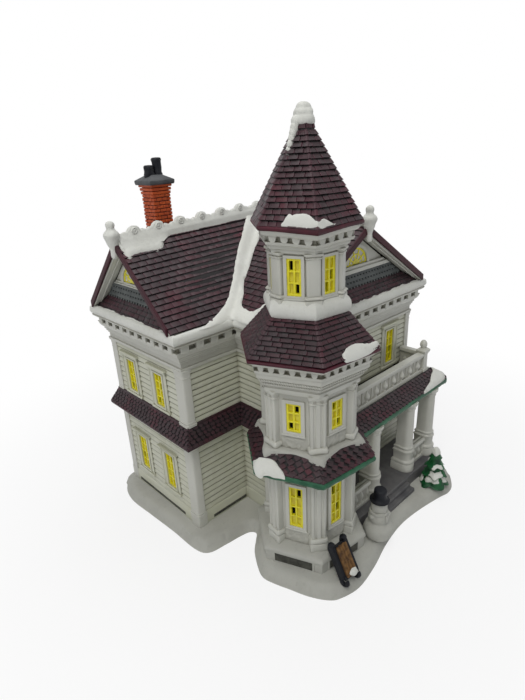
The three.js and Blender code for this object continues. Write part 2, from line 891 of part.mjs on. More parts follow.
function mainRoofSolid() {
  const x0 = -gableOverhang;
  const x1 = mainLength + gableOverhang;
  const shell = alongX(shellSection(mainRoof, tileLap), x0, x1);
  const rakes = [
    alongX(rakeSection(mainRoof), x0, x0 + rakeWidth),
    alongX(rakeSection(mainRoof), x1 - rakeWidth, x1),
  ];
  const frontAttic = alongY(atticSection(frontRoof, 0), -frontDepth, mainRidgeY);
  const wing = box(wingSetback, mainLength, -roofFoot - 1, 0, corniceTop - 1, eaveHeight + 3);
  return cut(join(shell, rakes), frontAttic, wing, ledgeClearance, towerShadow);
}

function frontRoofSolid() {
  const y0 = -frontDepth - gableOverhang;
  const shell = alongY(shellSection(frontRoof, tileLap), y0, mainRidgeY - 1);
  const rake = alongY(rakeSection(frontRoof), y0, y0 + rakeWidth);
  const under = alongX(
    fillSection(mainRoof, tileLap + gap, corniceTop - 1),
    -gableOverhang - 1,
    mainLength + gableOverhang + 1,
  );
  return cut(join(shell, rake), under, ledgeClearance, towerShadow);
}

// Gable: its wall, the tiled skirt at its foot, a band of shingles, a sill and the lunette.
function gable(edge, roof, middle, lunetteOpen) {
  const skirtRows = rowsBetween(
    [roofFoot - rowLap, corniceTop + 2.2],
    [0, gableSkirtTop],
    3,
    rowLap,
  );
  const bandRows = rowsBetween([0.3, gableSkirtTop], [0.3, gableBandTop], 3, rowLap);
  const sillProud = 1.6;
  const reach = roof.half;
  const profile = [
    [wall, corniceTop],
    [-roofFoot, corniceTop],
    ...[...skirtRows, ...bandRows].map(([distance, height]) => [-distance, height]),
    [-sillProud, gableBandTop],
    [-sillProud, lunetteSill - 0.2],
    [0, lunetteSill + 0.4],
    [0, ridgeHeight],
    [wall, ridgeHeight],
  ];
  const slab = alongX(profile, -reach, reach);
  const frame = shifted(
    halfDisc(lunetteRadius + lunetteCasing, -casingProud, wall),
    0,
    0,
    lunetteSill,
  );
  const hole = shifted(halfDisc(lunetteRadius, -wall, lunetteOpen ? wall * 3 : blindDepth), 0, 0, lunetteSill);
  const whole = cut(join(slab, frame), hole);
  const under = alongY(
    atticSection({ ...roof, centre: 0 }, gap * 1.5),
    -gableOverhang - 1,
    wall + 1,
  );
  return moved(whole.intersect(under), onWall(edge, middle, 0));
}

// Snow on the roofs: a drift along the main ridge, and a band down each valley. Its top
// carries the scalloped cresting.
function roofSnow() {
  const clear = tileLap + gap;
  const thick = 1.9;
  const layer = (raise) => join(
    alongX(fillSection(mainRoof, raise, corniceTop), -gableOverhang, mainLength + gableOverhang),
    alongY(fillSection(frontRoof, raise, corniceTop), -frontDepth, mainRidgeY),
  );
  const start = -gableOverhang + 4.9;
  const end = mainLength - start;
  const drift = [
    [start, -9],
    [4, -13],
    [wingSetback * 0.55, -12.5],
    [wingSetback - 9, -10],
    [wingSetback - 3, -4],
    [frontRidgeX - 23, -4.5],
    [frontRidgeX - 17, -13],
    [frontRidgeX - 35, -27],
    [frontRidgeX - 53, -34],
    [wingSetback - 5.6, -mainRoof.half + 2],
    [wingSetback - 13.6, -mainRoof.half + 0.3],
    [wingSetback + 6.4, -mainRoof.half + 0.3],
    [frontRidgeX - 43, -34],
    [frontRidgeX - 24, -24],
    [frontRidgeX - 3, -7],
    [frontRidgeX + 9, -6],
    [end, -4],
    [end, 5],
    [36, 5],
    [10, 8],
    [start, 7],
  ].map(([x, fromRidge]) => [x, mainRidgeY + fromRidge]);
  const blanket = cut(
    alongZ(drift, corniceTop, ridgeHeight + clear + thick).intersect(layer(clear + thick)),
    layer(clear),
  );
  const crest = new THREE.Shape();
  const crestBase = ridgeHeight + clear + 0.2;
  const crestTop = ridgeHeight + 4.6;
  const lobePitch = 15.5;
  const lobeRadius = 3.4;
  crest.moveTo(start, crestBase);
  crest.lineTo(end, crestBase);
  crest.lineTo(end, crestTop);
  const lobes = Math.floor((end - start - lobePitch / 2) / lobePitch);
  for (let i = lobes; i >= 0; i -= 1) {
    const x = start + lobePitch * (i + 0.75);
    if (x + lobeRadius < end) {
      crest.lineTo(x + lobeRadius + 1.6, crestTop);
      crest.absarc(x, crestTop + 1.5, lobeRadius, -0.1 * Math.PI, 1.1 * Math.PI, false);
      crest.lineTo(x - lobeRadius - 1.6, crestTop);
    }
  }
  crest.lineTo(start, crestTop);
  const cresting = alongY(crest, mainRidgeY - 1.7, mainRidgeY + 1.7);
  const snow = cut(join(blanket, cresting), towerShadow);
  return cut(snow, chimneyShape(gap));
}

const chimneyShape = (extra) => box(
  chimneyX - extra,
  chimneyX + chimneyWidth + extra,
  chimneyY - extra,
  chimneyY + chimneyDepth + extra,
  eaveHeight,
  chimneyTop,
);

// A square-cornered solid over the chimney's plan, from levels of [reach, height].
const overChimney = (profile) => lofted(profile.map(([reach, height]) => ({
  points: [
    [chimneyX - reach, chimneyY - reach],
    [chimneyX + chimneyWidth + reach, chimneyY - reach],
    [chimneyX + chimneyWidth + reach, chimneyY + chimneyDepth + reach],
    [chimneyX - reach, chimneyY + chimneyDepth + reach],
  ],
  height,
})));

// Brick stack with two corbelled bands under the cap.
function chimneyStack() {
  const under = alongX(
    fillSection(mainRoof, tileLap + gap, corniceTop),
    -gableOverhang,
    mainLength,
  );
  const stack = overChimney([
    [0, eaveHeight],
    [0, chimneyTop - 5.4],
    [chimneyBand, chimneyTop - 5],
    [chimneyBand, chimneyTop - 3],
    [chimneyBand * 2, chimneyTop - 2.6],
    [chimneyBand * 2, chimneyTop],
  ]);
  return cut(stack, under);
}

// Thin slab that rises to a low pyramid with a flat top for the pots.
const chimneyCap = () => overChimney([
  [chimneyCapReach, chimneyTop],
  [chimneyCapReach, chimneyTop + chimneySlab],
  [-1.2, chimneyTop + chimneyCapHeight],
]);

function chimneyPot(height) {
  const inner = potRadius - 1;
  return turned([
    [0, 0],
    [potRadius + 0.5, 0],
    [potRadius + 0.3, 1],
    [potRadius - 0.2, 1.4],
    [potRadius - 0.2, height - 2],
    [potRadius + 0.2, height - 1.6],
    [potRadius + 0.2, height],
    [inner, height],
    [inner, height - 3],
    [0, height - 3],
  ], 8);
}

// Finial on a gable's peak: a capped post outside the rake boards with a drop below them.
function gableFinial(x, y, direction) {
  const base = ridgeHeight - finialDrop;
  const shares = [
    [0, 0],
    [2.1, 0.07],
    [1.7, 0.25],
    [3.6, 0.42],
    [3.2, 0.55],
    [4.3, 0.66],
    [1.9, 0.78],
    [2.3, 0.86],
    [2.2, 0.94],
    [0, 1],
  ];
  const profile = shares.map(([radius, share]) => [radius, base + gableFinialHeight * share]);
  const post = shifted(turned(profile, 8), x, y, 0);
  const roofs = join(
    alongX(rakeSection(mainRoof), -gableOverhang, mainLength + gableOverhang),
    alongY(rakeSection(frontRoof), -frontDepth - gableOverhang, mainRidgeY),
  );
  const [dx, dy] = direction;
  return cut(post, roofs, shifted(roofs, dx * gap, dy * gap, gap), shifted(roofs, 0, 0, gap));
}

// Edge of the snow on the ground, counterclockwise: outwards from the left wall, in along the
// wing's front, round the tower, and then past the porch, the right wall and the back.
const snowEdge = new THREE.CatmullRomCurve3([
  [-7.5, mainDepth + 2.2],
  [-13, mainDepth * 0.82],
  [-12, mainDepth * 0.51],
  [-10.5, mainDepth * 0.19],
  [-10, -6],
  [-6, -15],
  [6, -16.5],
  [wingSetback * 0.55, -16],
  [towerX - 16.3, towerY + 31.2],
  [towerX - 23.8, towerY + 23.7],
  [towerX - 33.8, towerY + 12.2],
  [towerX - 39.8, towerY - 0.8],
  [towerX - 36.8, towerY - 15.8],
  [towerX - 29.8, towerY - 31.8],
  [towerX - 18.8, towerY - 43.1],
  [towerX + 3.2, towerY - 44.3],
  [snowmanX + 4, snowmanY - 7.5],
  [stepLeft + 10, porchFloorFront - 13.8],
  [stepRight - 0.7, porchFloorFront - 15.5],
  [treeX + 1.5, treeY - 10.6],
  [porchRight - 10, porchFloorFront - 16.5],
  [mainLength + 3.2, porchFloorFront + 2.5],
  [mainLength + 9.2, -frontDepth - 1],
  [mainLength + 9.7, mainDepth * 0.26],
  [mainLength + 8.2, mainDepth - 3.8],
  [mainLength - 0.8, mainDepth + 7.7],
  [mainLength / 2, mainDepth + 9.2],
  [4, mainDepth + 8.2],
].map(([x, y]) => new THREE.Vector3(x, y, 0)), true, 'centripetal');

function snowBase() {
  const samples = 48;
  const edge = snowEdge.getPoints(samples).slice(0, samples).map(({ x, y }) => [x, y]);
  const level = (inset, height) => ({ points: outset(edge, inset), height });
  return lofted([
    level(0, 0),
    level(0, snowTop - 3),
    level(-0.9, snowTop - 1),
    level(-2.6, snowTop),
  ]);
}

function porchFloor() {
  const slab = box(towerX, porchRight, porchFloorFront, porchBack, snowTop, porchFloorTop);
  const rise = (porchFloorTop - snowTop) / stepCount;
  const steps = Array.from({ length: stepCount - 1 }, (_, i) => box(
    stepLeft,
    stepRight,
    porchFloorFront - stepTread * (i + 1),
    porchFloorFront + 1,
    snowTop,
    porchFloorTop - rise * (i + 1),
  ));
  const pilaster = box(
    mainLength - 12,
    mainLength + 4,
    -frontDepth - 4,
    -frontDepth,
    snowTop,
    porchFloorTop + 1,
  );
  return cut(join(slab, steps), pilaster, towerShadow);
}

// Porch column: round at the front, with a straight web behind, on a base, under a capital.
function porchColumn() {
  const arcSteps = 6;
  const section = (grow) => {
    const r = columnRadius + grow;
    const arc = Array.from({ length: arcSteps + 1 }, (_, i) => {
      const angle = Math.PI * (1 + i / arcSteps);
      return [r * Math.cos(angle), r * Math.sin(angle)];
    });
    return [...arc, [r, columnDepth + grow], [-r, columnDepth + grow]];
  };
  const z0 = porchFloorTop;
  const z1 = porchEaveBottom;
  const profile = [
    [1, z0],
    [1, z0 + 6],
    [0, z0 + 7.6],
    [0, z0 + 17],
    [-0.6, z0 + 17.6],
    [-0.6, z1 - 6],
    [0.3, z1 - 5],
    [0.9, z1 - 3.4],
    [0.9, z1],
  ];
  return lofted(profile.map(([grow, height]) => ({ points: section(grow), height })));
}

// Turned baluster in relief.
function baluster(height) {
  return turned([
    [0, 0],
    [1.1, 0],
    [1.7, height * 0.42],
    [0.8, height * 0.74],
    [1.2, height],
    [0, height],
  ], 6);
}

function porchRail(x0, x1) {
  const z0 = porchFloorTop;
  const z1 = z0 + 14.5;
  const y = columnY;
  const parts = [
    box(x0, x1, y - 0.8, y + 0.8, z0, z1),
    box(x0, x1, y - 1.8, y + 1.8, z0, z0 + 2.4),
    box(x0, x1, y - 1.9, y + 1.9, z1 - 2.6, z1),
  ];
  const count = Math.max(1, Math.round((x1 - x0) / 6));
  for (let i = 0; i < count; i += 1) {
    const x = x0 + (x1 - x0) * (i + 0.5) / count;
    parts.push(shifted(baluster(z1 - z0 - 4.6), x, y, z0 + 2.2));
  }
  return join(parts);
}

const porchBack = -frontDepth - wallRelief - gap;

// Porch roof: a flat deck behind, and a tiled slope to the front and to the right.
function porchRoof() {
  const rows = 4;
  const inset = balconyRailY - railThickness - porchEaveY;
  const left = towerX;
  const level = (distance, height) => ({
    points: [
      [left, porchEaveY + distance],
      [porchEaveRight - distance, porchEaveY + distance],
      [porchEaveRight - distance, porchBack],
      [left, porchBack],
    ],
    height,
  });
  const slope = rowsBetween([0, porchEaveTop], [-inset, porchDeck], rows, 0.7);
  const levels = [
    level(1.2, porchEaveBottom),
    level(0, porchEaveBottom + 0.8),
    level(0, porchEaveTop),
    ...slope.map(([distance, height]) => level(-distance, height)),
  ];
  const body = lofted(levels);
  const pent = box(
    mainLength - 10,
    mainLength + pentOverhang + 4,
    -frontDepth - pentOverhang - 2,
    -frontDepth,
    60,
    90,
  );
  const corner = box(
    mainLength - 12,
    mainLength + pentOverhang + 8,
    -frontDepth - 4,
    -frontDepth + 1,
    60,
    90,
  );
  return cut(body, towerShadow, pent.intersect(corner));
}

function balcony() {
  const t = railThickness;
  const z0 = porchDeck;
  const z1 = balconyRailTop;
  const y = balconyRailY;
  const x0 = towerX;
  const x1 = balconyPostX;
  const panelFront = box(x0, x1, y - 0.8, y + 0.8, z0, z1);
  const sideEnd = -frontDepth - trimProud - capitalProud - gap;
  const panelSide = box(x1 - 0.8, x1 + 0.8, y, sideEnd, z0, z1);
  const rails = [
    box(x0, x1, y - t / 2, y + t / 2, z0, z0 + 2.2),
    box(x0, x1, y - t / 2 - 0.3, y + t / 2 + 0.3, z1 - 2, z1),
    box(x1 - t / 2, x1 + t / 2, y, sideEnd, z0, z0 + 2.2),
    box(x1 - t / 2 - 0.3, x1 + t / 2 + 0.3, y, sideEnd, z1 - 2, z1),
  ];
  const balusters = [];
  const pitch = 9.6;
  const count = Math.floor((x1 - 6 - 62) / pitch);
  for (let i = 0; i <= count; i += 1) {
    balusters.push(shifted(baluster(z1 - z0 - 4), x1 - 9 - i * pitch, y, z0 + 2.1));
  }
  const half = 2.9;
  const postLevel = (reach, height) => ({
    points: [[x1 - reach, y - reach], [x1 + reach, y - reach], [x1 + reach, y + reach], [x1 - reach, y + reach]],
    height,
  });
  const post = lofted([
    postLevel(half + 0.5, z0),
    postLevel(half + 0.5, z0 + 2),
    postLevel(half, z0 + 2.6),
    postLevel(half, z1 - 0.6),
    postLevel(half + 1.1, z1 + 0.8),
    postLevel(half + 1.1, z1 + 2),
    postLevel(1.4, z1 + 4),
  ]);
  const ball = shifted(turned([[0, 0], [2, 0.4], [2.8, 2.4], [2, 4.6], [0, 5.4]], 10), x1, y, z1 + 3);
  return cut(join(panelFront, panelSide, rails, balusters, post, ball), towerShadow);
}

// Tower storeys and roofs
function towerStorey({ walls, pillars, window }) {
  const wallFace = window.apothem;
  const frames = Object.values(faceAngles).map((angle) => moved(
    shifted(casing({ ...window, side: towerCasing, proud: 0.8 }), 0, -wallFace, 0),
    onTower(angle, window.sill),
  ));
  const pierced = [faceAngles.wing, faceAngles.left, faceAngles.front];
  const holes = pierced.map((angle) => moved(
    shifted(openingOf(window), 0, -wallFace, 0),
    onTower(angle, window.sill),
  ));
  const blindHole = moved(
    box(-window.width / 2, window.width / 2, -wallFace - wall * 2, -wallFace + blindDepth, 0, window.height),
    onTower(faceAngles.porch, window.sill),
  );
  const body = join(hexRing(walls), pillars, frames);
  const hollow = hexPrism(window.hollow, 0, ridgeHeight * 2);
  return cut(body, hollow, holes, blindHole);
}

// The tower's pieces leave the rooms of the house and the attic of the front roof free.
const frontAttic = alongY(atticSection(frontRoof, 0), wall - frontDepth, mainRidgeY);
const trimTower = (solid) => cut(solid, houseInterior(0, corniceTop), frontAttic);

const pillarsOf = (data) => Object.values(cornerAngles).map((angle) => pillar(angle, data));

function towerPlinth() {
  const ring = hexRing([[towerHollow, snowTop], ...plinthProfile, [towerHollow, plinthTop]]);
  const strips = [-90, -30, 30, 90].map((angle) => moved(
    box(-11, 11, -plinthApothem - 1, -plinthApothem + 1.9, snowTop + 1.6, plinthTop - 4.6),
    onTower(angle, 0),
  ));
  return trimTower(cut(ring, strips));
}

function lowerTower() {
  return trimTower(towerStorey({
    walls: [
      [towerHollow, plinthTop],
      [lowerApothem, plinthTop],
      [lowerApothem, skirtBottom],
      [towerHollow, skirtBottom],
    ],
    pillars: pillarsOf(lowerPillar),
    window: { ...lowerTowerWindow, apothem: lowerApothem, hollow: towerHollow },
  }));
}

function skirtRoof() {
  const ring = hexRing([
    [towerHollow, skirtBottom],
    [skirtApothem - 1.4, skirtBottom],
    [skirtApothem, skirtBottom + 1],
    ...skirtSlope,
    [skirtRidge - 0.4, skirtTop],
    [towerHollow, skirtTop],
  ]);
  return trimTower(ring);
}

function middleTower() {
  return trimTower(towerStorey({
    walls: [
      [towerHollow, skirtTop],
      [lowerApothem, skirtTop],
      ...middleCornice,
      [towerHollow, middleTop],
    ],
    pillars: pillarsOf(middlePillar),
    window: { ...middleTowerWindow, apothem: lowerApothem, hollow: towerHollow },
  }));
}

const middleRoof = () => trimTower(hexRing([
  [24, middleTop],
  [middleEave, middleTop],
  ...middleSlope,
  [middleRoofNeck - 0.3, middleRoofTop],
  [upperHollow + 1, middleRoofTop],
  [upperHollow + 1, middleRoofTop - 5],
  [24, middleTop + 2],
]));

function upperTower() {
  return trimTower(towerStorey({
    walls: [
      [upperHollow, middleRoofTop],
      ...upperFoot,
      ...upperCornice,
      [upperHollow, upperTop],
    ],
    pillars: pillarsOf(upperPillar),
    window: { ...upperTowerWindow, apothem: upperApothem, hollow: upperHollow },
  }));
}

function spireRoof() {
  const outer = hexLoft([
    [spireEave, upperTop],
    ...spireSlope,
    [spireTip + 0.6, spireTop - 5.5],
    [spireTip, spireTop],
  ]);
  const hollow = hexLoft([
    [18, upperTop - 1],
    [18, upperTop + 1],
    [2, spireTop - 14],
  ]);
  return cut(outer, hollow);
}

const spireFinial = () => shifted(turned([
  [0, 0],
  [3.4, 0],
  [5, 1],
  [5.3, 2.8],
  [4.4, 4.2],
  [3, 4.8],
  [2.8, 6.2],
  [1.6, finialHeight - 0.3],
  [0, finialHeight],
], 10), towerX, towerY, spireTop);

// Ground pieces
function snowman() {
  const r = snowmanWidth / 2;
  const profile = [
    [0, 0],
    [r * 0.72, 0],
    [r, 2.4],
    [r, 6],
    [r * 0.68, 11],
    [r * 0.76, 13],
    [r * 0.74, 15.6],
    [r * 0.6, 17.2],
    [r * 0.68, 18.2],
    [r * 0.58, 19.4],
    [r * 0.6, 22.6],
    [r * 0.42, snowmanHeight],
    [0, snowmanHeight],
  ];
  const arms = [-1, 1].map((side) => {
    const arm = turned([[0, 0], [1.7, 1], [1.8, 5.6], [0, 7.4]], 6);
    const tilt = new THREE.Matrix4().makeTranslation(side * r * 0.68, -1.8, 10.6);
    tilt.multiply(new THREE.Matrix4().makeRotationY(side * 0.45));
    return moved(arm, tilt);
  });
  return join(turned(profile, 12), arms);
}

const snowmanHat = () => turned([
  [0, 0],
  [hatBrim - 0.2, 0],
  [hatBrim, 0.7],
  [hatBrim - 0.3, 1.3],
  [hatBrim * 0.66, 1.6],
  [hatBrim * 0.64, hatHeight - 0.5],
  [hatBrim * 0.55, hatHeight],
  [0, hatHeight],
], 12);

// Sled: two runners that curl up at the front under a slatted deck. It is drawn
// lying flat, with its front along +X.
function sled() {
  const runnerThickness = 1.6;
  const runnerHeight = sledRunner;
  const length = sledLength;
  const runner = new THREE.Shape();
  runner.moveTo(0, 0);
  runner.lineTo(length - 4, 0);
  runner.absarc(length - 4, 3, 3, -Math.PI / 2, Math.PI / 2, false);
  runner.lineTo(length - 6, 6);
  runner.lineTo(length - 6, runnerHeight);
  runner.lineTo(0, runnerHeight);
  runner.absarc(0, runnerHeight / 2, runnerHeight / 2, Math.PI / 2, Math.PI * 1.5, false);
  const half = sledWidth / 2;
  const runners = [-half, half - runnerThickness].map((y) => alongY(runner, y, y + runnerThickness));
  const slats = [0, 1, 2].map((i) => {
    const width = (sledWidth - 1.2) / 3;
    const y = -half + 0.6 + i * width;
    return box(0.6, length - 6.6, y + 0.15, y + width - 0.15, runnerHeight, runnerHeight + 1.4);
  });
  const bed = box(0.6, length - 6.6, -half + 0.7, half - 0.7, runnerHeight - 0.4, runnerHeight + 0.9);
  return join(runners, slats, bed);
}

function pineTree() {
  const r = treeRadius;
  const h = treeHeight;
  return turned([
    [0, 0],
    [r * 0.8, 0],
    [r, h * 0.06],
    [r * 0.95, h * 0.16],
    [r * 0.62, h * 0.34],
    [r * 0.82, h * 0.36],
    [r * 0.72, h * 0.46],
    [r * 0.44, h * 0.6],
    [r * 0.6, h * 0.62],
    [r * 0.5, h * 0.74],
    [r * 0.34, h * 0.8],
    [r * 0.42, h * 0.84],
    [r * 0.3, h * 0.95],
    [0, h],
  ], 12);
}

// Lamp: a moulded holder with spring fingers, and a bulb with a screw base. Heights here run
// outwards from the face of the back wall.
const flangeSeat = wallRelief + 0.3 + gap;

function lampHolder() {
  const inner = flangeSeat - socketLength;
  const body = onLampAxis([
    [0, flangeSeat],
    [lampFlangeRadius, flangeSeat],
    [lampFlangeRadius, flangeSeat + lampFlangeThickness - 0.6],
    [lampFlangeRadius - 0.6, flangeSeat + lampFlangeThickness],
    [7, flangeSeat + lampFlangeThickness],
    [6.4, flangeSeat + 6],
    [0, flangeSeat + 6],
  ], 24);
  const socket = onLampAxis([
    [0, inner],
    [socketRadius, inner],
    [socketRadius, flangeSeat + 0.5],
    [0, flangeSeat + 0.5],
  ], 20);
  const bore = onLampAxis([
    [0, inner - 1],
    [bulbBaseRadius + socketClearance, inner - 1],
    [bulbBaseRadius + socketClearance, inner + bulbBaseLength + socketClearance],
    [0, inner + bulbBaseLength + socketClearance],
  ], 20);
  const cordInlet = onLampAxis([
    [0, flangeSeat + 2],
    [1.9, flangeSeat + 2],
    [1.9, flangeSeat + 7],
    [0, flangeSeat + 7],
  ], 8);
  const finger = [
    [socketRadius - 1, flangeSeat + 0.4],
    [fingerReach - 2.2, flangeSeat + 0.4],
    [fingerReach, flangeSeat - 3],
    [fingerReach, flangeSeat - 6],
    [socketRadius + 1.6, flangeSeat - 16],
    [socketRadius - 1, flangeSeat - 16],
    [socketRadius - 1, flangeSeat - 14.6],
    [socketRadius + 0.9, flangeSeat - 14.6],
    [fingerReach - 1.4, flangeSeat - 5.4],
    [fingerReach - 1.4, flangeSeat - 3],
    [fingerReach - 3.2, flangeSeat - 1],
    [socketRadius - 1, flangeSeat - 1],
  ];
  const fingers = [0, Math.PI].map((turn) => {
    const matrix = lampCentre().multiply(new THREE.Matrix4().makeRotationY(turn));
    const blade = extruded(finger, 6, new THREE.Matrix4(), [0, 0, -3]);
    return moved(blade, matrix);
  });
  return cut(join(body, socket, fingers), bore, cordInlet);
}

const bulbMouth = flangeSeat - socketLength;

const bulbBase = () => onLampAxis([
  [0, bulbMouth - 1.5],
  [bulbBaseRadius, bulbMouth - 1.5],
  [bulbBaseRadius, bulbMouth + bulbBaseLength - 4],
  [bulbBaseRadius - 2.4, bulbMouth + bulbBaseLength - 1.4],
  [1.8, bulbMouth + bulbBaseLength - 1.2],
  [1.8, bulbMouth + bulbBaseLength],
  [0, bulbMouth + bulbBaseLength],
], 20);

function bulbGlass() {
  const neck = bulbMouth - 1.5;
  const at = (share) => neck - bulbLength * share;
  return onLampAxis([
    [0, neck],
    [bulbBaseRadius - 0.4, neck],
    [bulbBaseRadius + 0.4, at(0.08)],
    [bulbRadius * 0.9, at(0.26)],
    [bulbRadius, at(0.42)],
    [bulbRadius * 0.88, at(0.6)],
    [bulbRadius * 0.56, at(0.8)],
    [bulbRadius * 0.24, at(0.95)],
    [0, at(1)],
  ], 16);
}

// Door leaf with two sunk panels
function frontDoor() {
  const half = doorWidth / 2 - gap;
  const leaf = box(-half, half, 0, 2, gap, doorHeight - gap);
  const panel = (z0, z1) => box(-half + 2.2, half - 2.2, -1, 0.7, z0, z1);
  return cut(leaf, panel(3, doorHeight * 0.44), panel(doorHeight * 0.54, doorHeight - 3));
}

// Materials of the scene: colour, roughness and metalness as the photograph shows them
const finishes = {
  glaze: [0xd9dacb, 0.45, 0],
  trim: [0xdcdcd2, 0.45, 0],
  snow: [0xe6e7e1, 0.7, 0],
  tile: [0x3d1f29, 0.55, 0],
  lattice: [0xe2d21c, 0.45, 0],
  brick: [0xb5501f, 0.7, 0],
  stone: [0x4a4b4d, 0.75, 0],
  black: [0x17181a, 0.45, 0],
  evergreen: [0x0f4a2c, 0.6, 0],
  wood: [0x6e4a26, 0.7, 0],
  door: [0x5b2b2b, 0.55, 0],
  plastic: [0xeceae4, 0.5, 0],
  brass: [0xb99a5b, 0.35, 0.9],
  bulb: [0xf3ead0, 0.15, 0],
};

const castle = new THREE.Group();
const flat = new THREE.Matrix4();

function add(name, solid, finish, matrix = flat) {
  const [color, roughness, metalness] = finishes[finish];
  const material = new THREE.MeshStandardMaterial({ color, roughness, metalness });
  const mesh = new THREE.Mesh(geometryOf(solid), material);
  mesh.name = name;
  matrix.decompose(mesh.position, mesh.quaternion, mesh.scale);
  castle.add(mesh);
}

const at = (x, y, z) => new THREE.Matrix4().makeTranslation(x, y, z);
const latticeSet = 0.3;
const inWall = (edge, along, height) => onWall(edge, along, height).multiply(at(0, latticeSet, 0));

add('snow_base', snowBase(), 'snow');
add('lower_walls', lowerWalls(), 'glaze');
add('pent_roof', pentRoof(), 'tile');
add('upper_walls', upperWalls(), 'glaze');
add('cornice', cornice(), 'trim');
const mainRoofBody = mainRoofSolid();
const frontRoofBody = frontRoofSolid();
add('main_roof', mainRoofBody, 'tile');
add('front_roof', frontRoofBody, 'tile');
add('left_gable', gable(leftWall, mainRoof, wallLength(leftWall) / 2, true), 'trim');
add('right_gable', gable(rightWall, mainRoof, frontDepth + mainRidgeY, false), 'trim');
add('front_gable', cut(gable(frontWall, frontRoof, frontRidgeX - wingSetback, true), towerShadow), 'trim');
add('roof_snow', roofSnow(), 'snow');
add('left_finial', gableFinial(-gableOverhang - gap, mainRidgeY, [-1, 0]), 'snow');
add('right_finial', gableFinial(mainLength + gableOverhang + gap, mainRidgeY, [1, 0]), 'snow');
add('front_finial', gableFinial(frontRidgeX, -frontDepth - gableOverhang - gap, [0, -1]), 'snow');
add('chimney_stack', chimneyStack(), 'brick');
add('chimney_cap', chimneyCap(), 'stone');
const potFoot = chimneyTop + chimneyCapHeight;
const potY = chimneyY + chimneyDepth / 2;
const potX = chimneyX + chimneyWidth / 2;
add('short_chimney_pot', chimneyPot(shortPotHeight), 'black', at(potX - potSpread, potY, potFoot));
add('tall_chimney_pot', chimneyPot(tallPotHeight), 'black', at(potX + potSpread, potY, potFoot));

add('tower_plinth', towerPlinth(), 'snow');
add('tower_lower_storey', lowerTower(), 'trim');
add('tower_skirt_roof', skirtRoof(), 'tile');
add('tower_middle_storey', middleTower(), 'trim');
add('tower_middle_roof', middleRoof(), 'tile');
add('tower_upper_storey', upperTower(), 'trim');
add('spire_roof', spireRoof(), 'tile');
add('spire_finial', spireFinial(), 'snow');

add('porch_floor', porchFloor(), 'stone');
add('left_porch_column', porchColumn(), 'trim', at(leftColumnX, columnY, 0));
add('middle_porch_column', porchColumn(), 'trim', at(middleColumnX, columnY, 0));
add('right_porch_column', porchColumn(), 'trim', at(rightColumnX, columnY, 0));
const columnClear = columnRadius + 1 + gap;
add('left_porch_rail', cut(porchRail(towerX, leftColumnX - columnClear), towerShadow), 'trim');
add('right_porch_rail', porchRail(middleColumnX + columnClear, rightColumnX - columnClear), 'trim');
add('porch_roof', porchRoof(), 'tile');
add('balcony_balustrade', balcony(), 'trim');
add('front_door', frontDoor(), 'door', inWall(frontWall, doorX - wingSetback, porchFloorTop + 2));

add('left_window_upper_front', lattice({ ...upperWindow, rows: 4, pierced: [[1, 1]] }), 'lattice',
  inWall(leftWall, leftNear, upperWindowSill));
add('left_window_upper_back', lattice({ ...upperWindow, rows: 4, pierced: [[0, 3]] }), 'lattice',
  inWall(leftWall, leftFar, upperWindowSill));
add('left_window_lower_front', lattice({ ...lowerWindow, rows: 4, pierced: [[1, 3], [0, 1]] }), 'lattice',
  inWall(leftWall, leftNear, lowerWindowSill));
add('left_window_lower_back', lattice({ ...lowerWindow, rows: 4, pierced: [[0, 1]] }), 'lattice',
  inWall(leftWall, leftFar, lowerWindowSill));
add('front_window_upper', lattice({ ...frontWindow, rows: 4, pierced: [[1, 0]] }), 'lattice',
  inWall(frontWall, frontWindowX - wingSetback, upperWindowSill));
add('left_gable_lunette', lunette(lunetteRadius), 'lattice',
  inWall(leftWall, wallLength(leftWall) / 2, lunetteSill));
add('front_gable_lunette', lunette(lunetteRadius), 'lattice',
  inWall(frontWall, frontRidgeX - wingSetback, lunetteSill));

const towerWindows = [
  ['lower', lowerTowerWindow, lowerApothem, [[1, 3], [0, 1]]],
  ['middle', middleTowerWindow, lowerApothem, [[1, 2], [0, 0]]],
  ['upper', upperTowerWindow, upperApothem, [[0, 0], [1, 1]]],
];
for (const [storey, window, apothem, pierced] of towerWindows) {
  for (const face of ['wing', 'left', 'front']) {
    const matrix = onTower(faceAngles[face], window.sill);
    matrix.multiply(at(0, latticeSet - apothem, 0));
    add(`tower_window_${storey}_${face}`, lattice({ ...window, pierced }), 'lattice', matrix);
  }
}

const snowmanTurn = new THREE.Matrix4().makeRotationZ(-0.5);
add('snowman_body', snowman(), 'snow', at(snowmanX, snowmanY, snowTop).multiply(snowmanTurn));
add('snowman_hat', snowmanHat(), 'black', at(snowmanX, snowmanY, snowTop + snowmanHeight));
add('pine_tree', pineTree(), 'evergreen', at(treeX, treeY, snowTop));
const sledPlace = at(30.6, -89.4, snowTop + sledRunner / 2 + gap);
sledPlace.multiply(new THREE.Matrix4().makeRotationZ(86 * degrees));
sledPlace.multiply(new THREE.Matrix4().makeRotationY(-sledLean * degrees));
sledPlace.multiply(at(0, 0, -sledRunner / 2));
add('sled', sled(), 'wood', sledPlace);

add('lamp_holder', lampHolder(), 'plastic');
add('bulb_base', bulbBase(), 'brass');
add('bulb_glass', bulbGlass(), 'bulb');

// The part's origin is under the middle of its bounding box.
castle.updateMatrixWorld(true);
const bounds = new THREE.Box3().setFromObject(castle, true);
castle.position.set(-(bounds.min.x + bounds.max.x) / 2, -(bounds.min.y + bounds.max.y) / 2, 0);
castle.updateMatrixWorld(true);

export default castle;
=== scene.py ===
"""Rendered model of a lighted ceramic village house with a six-sided corner tower.

All shapes are written in plan millimetres: X runs along the front, Y to the back and Z up,
with zero at the near corner of the left wing. put() turns them into metres of the frame.
"""

import math
import random

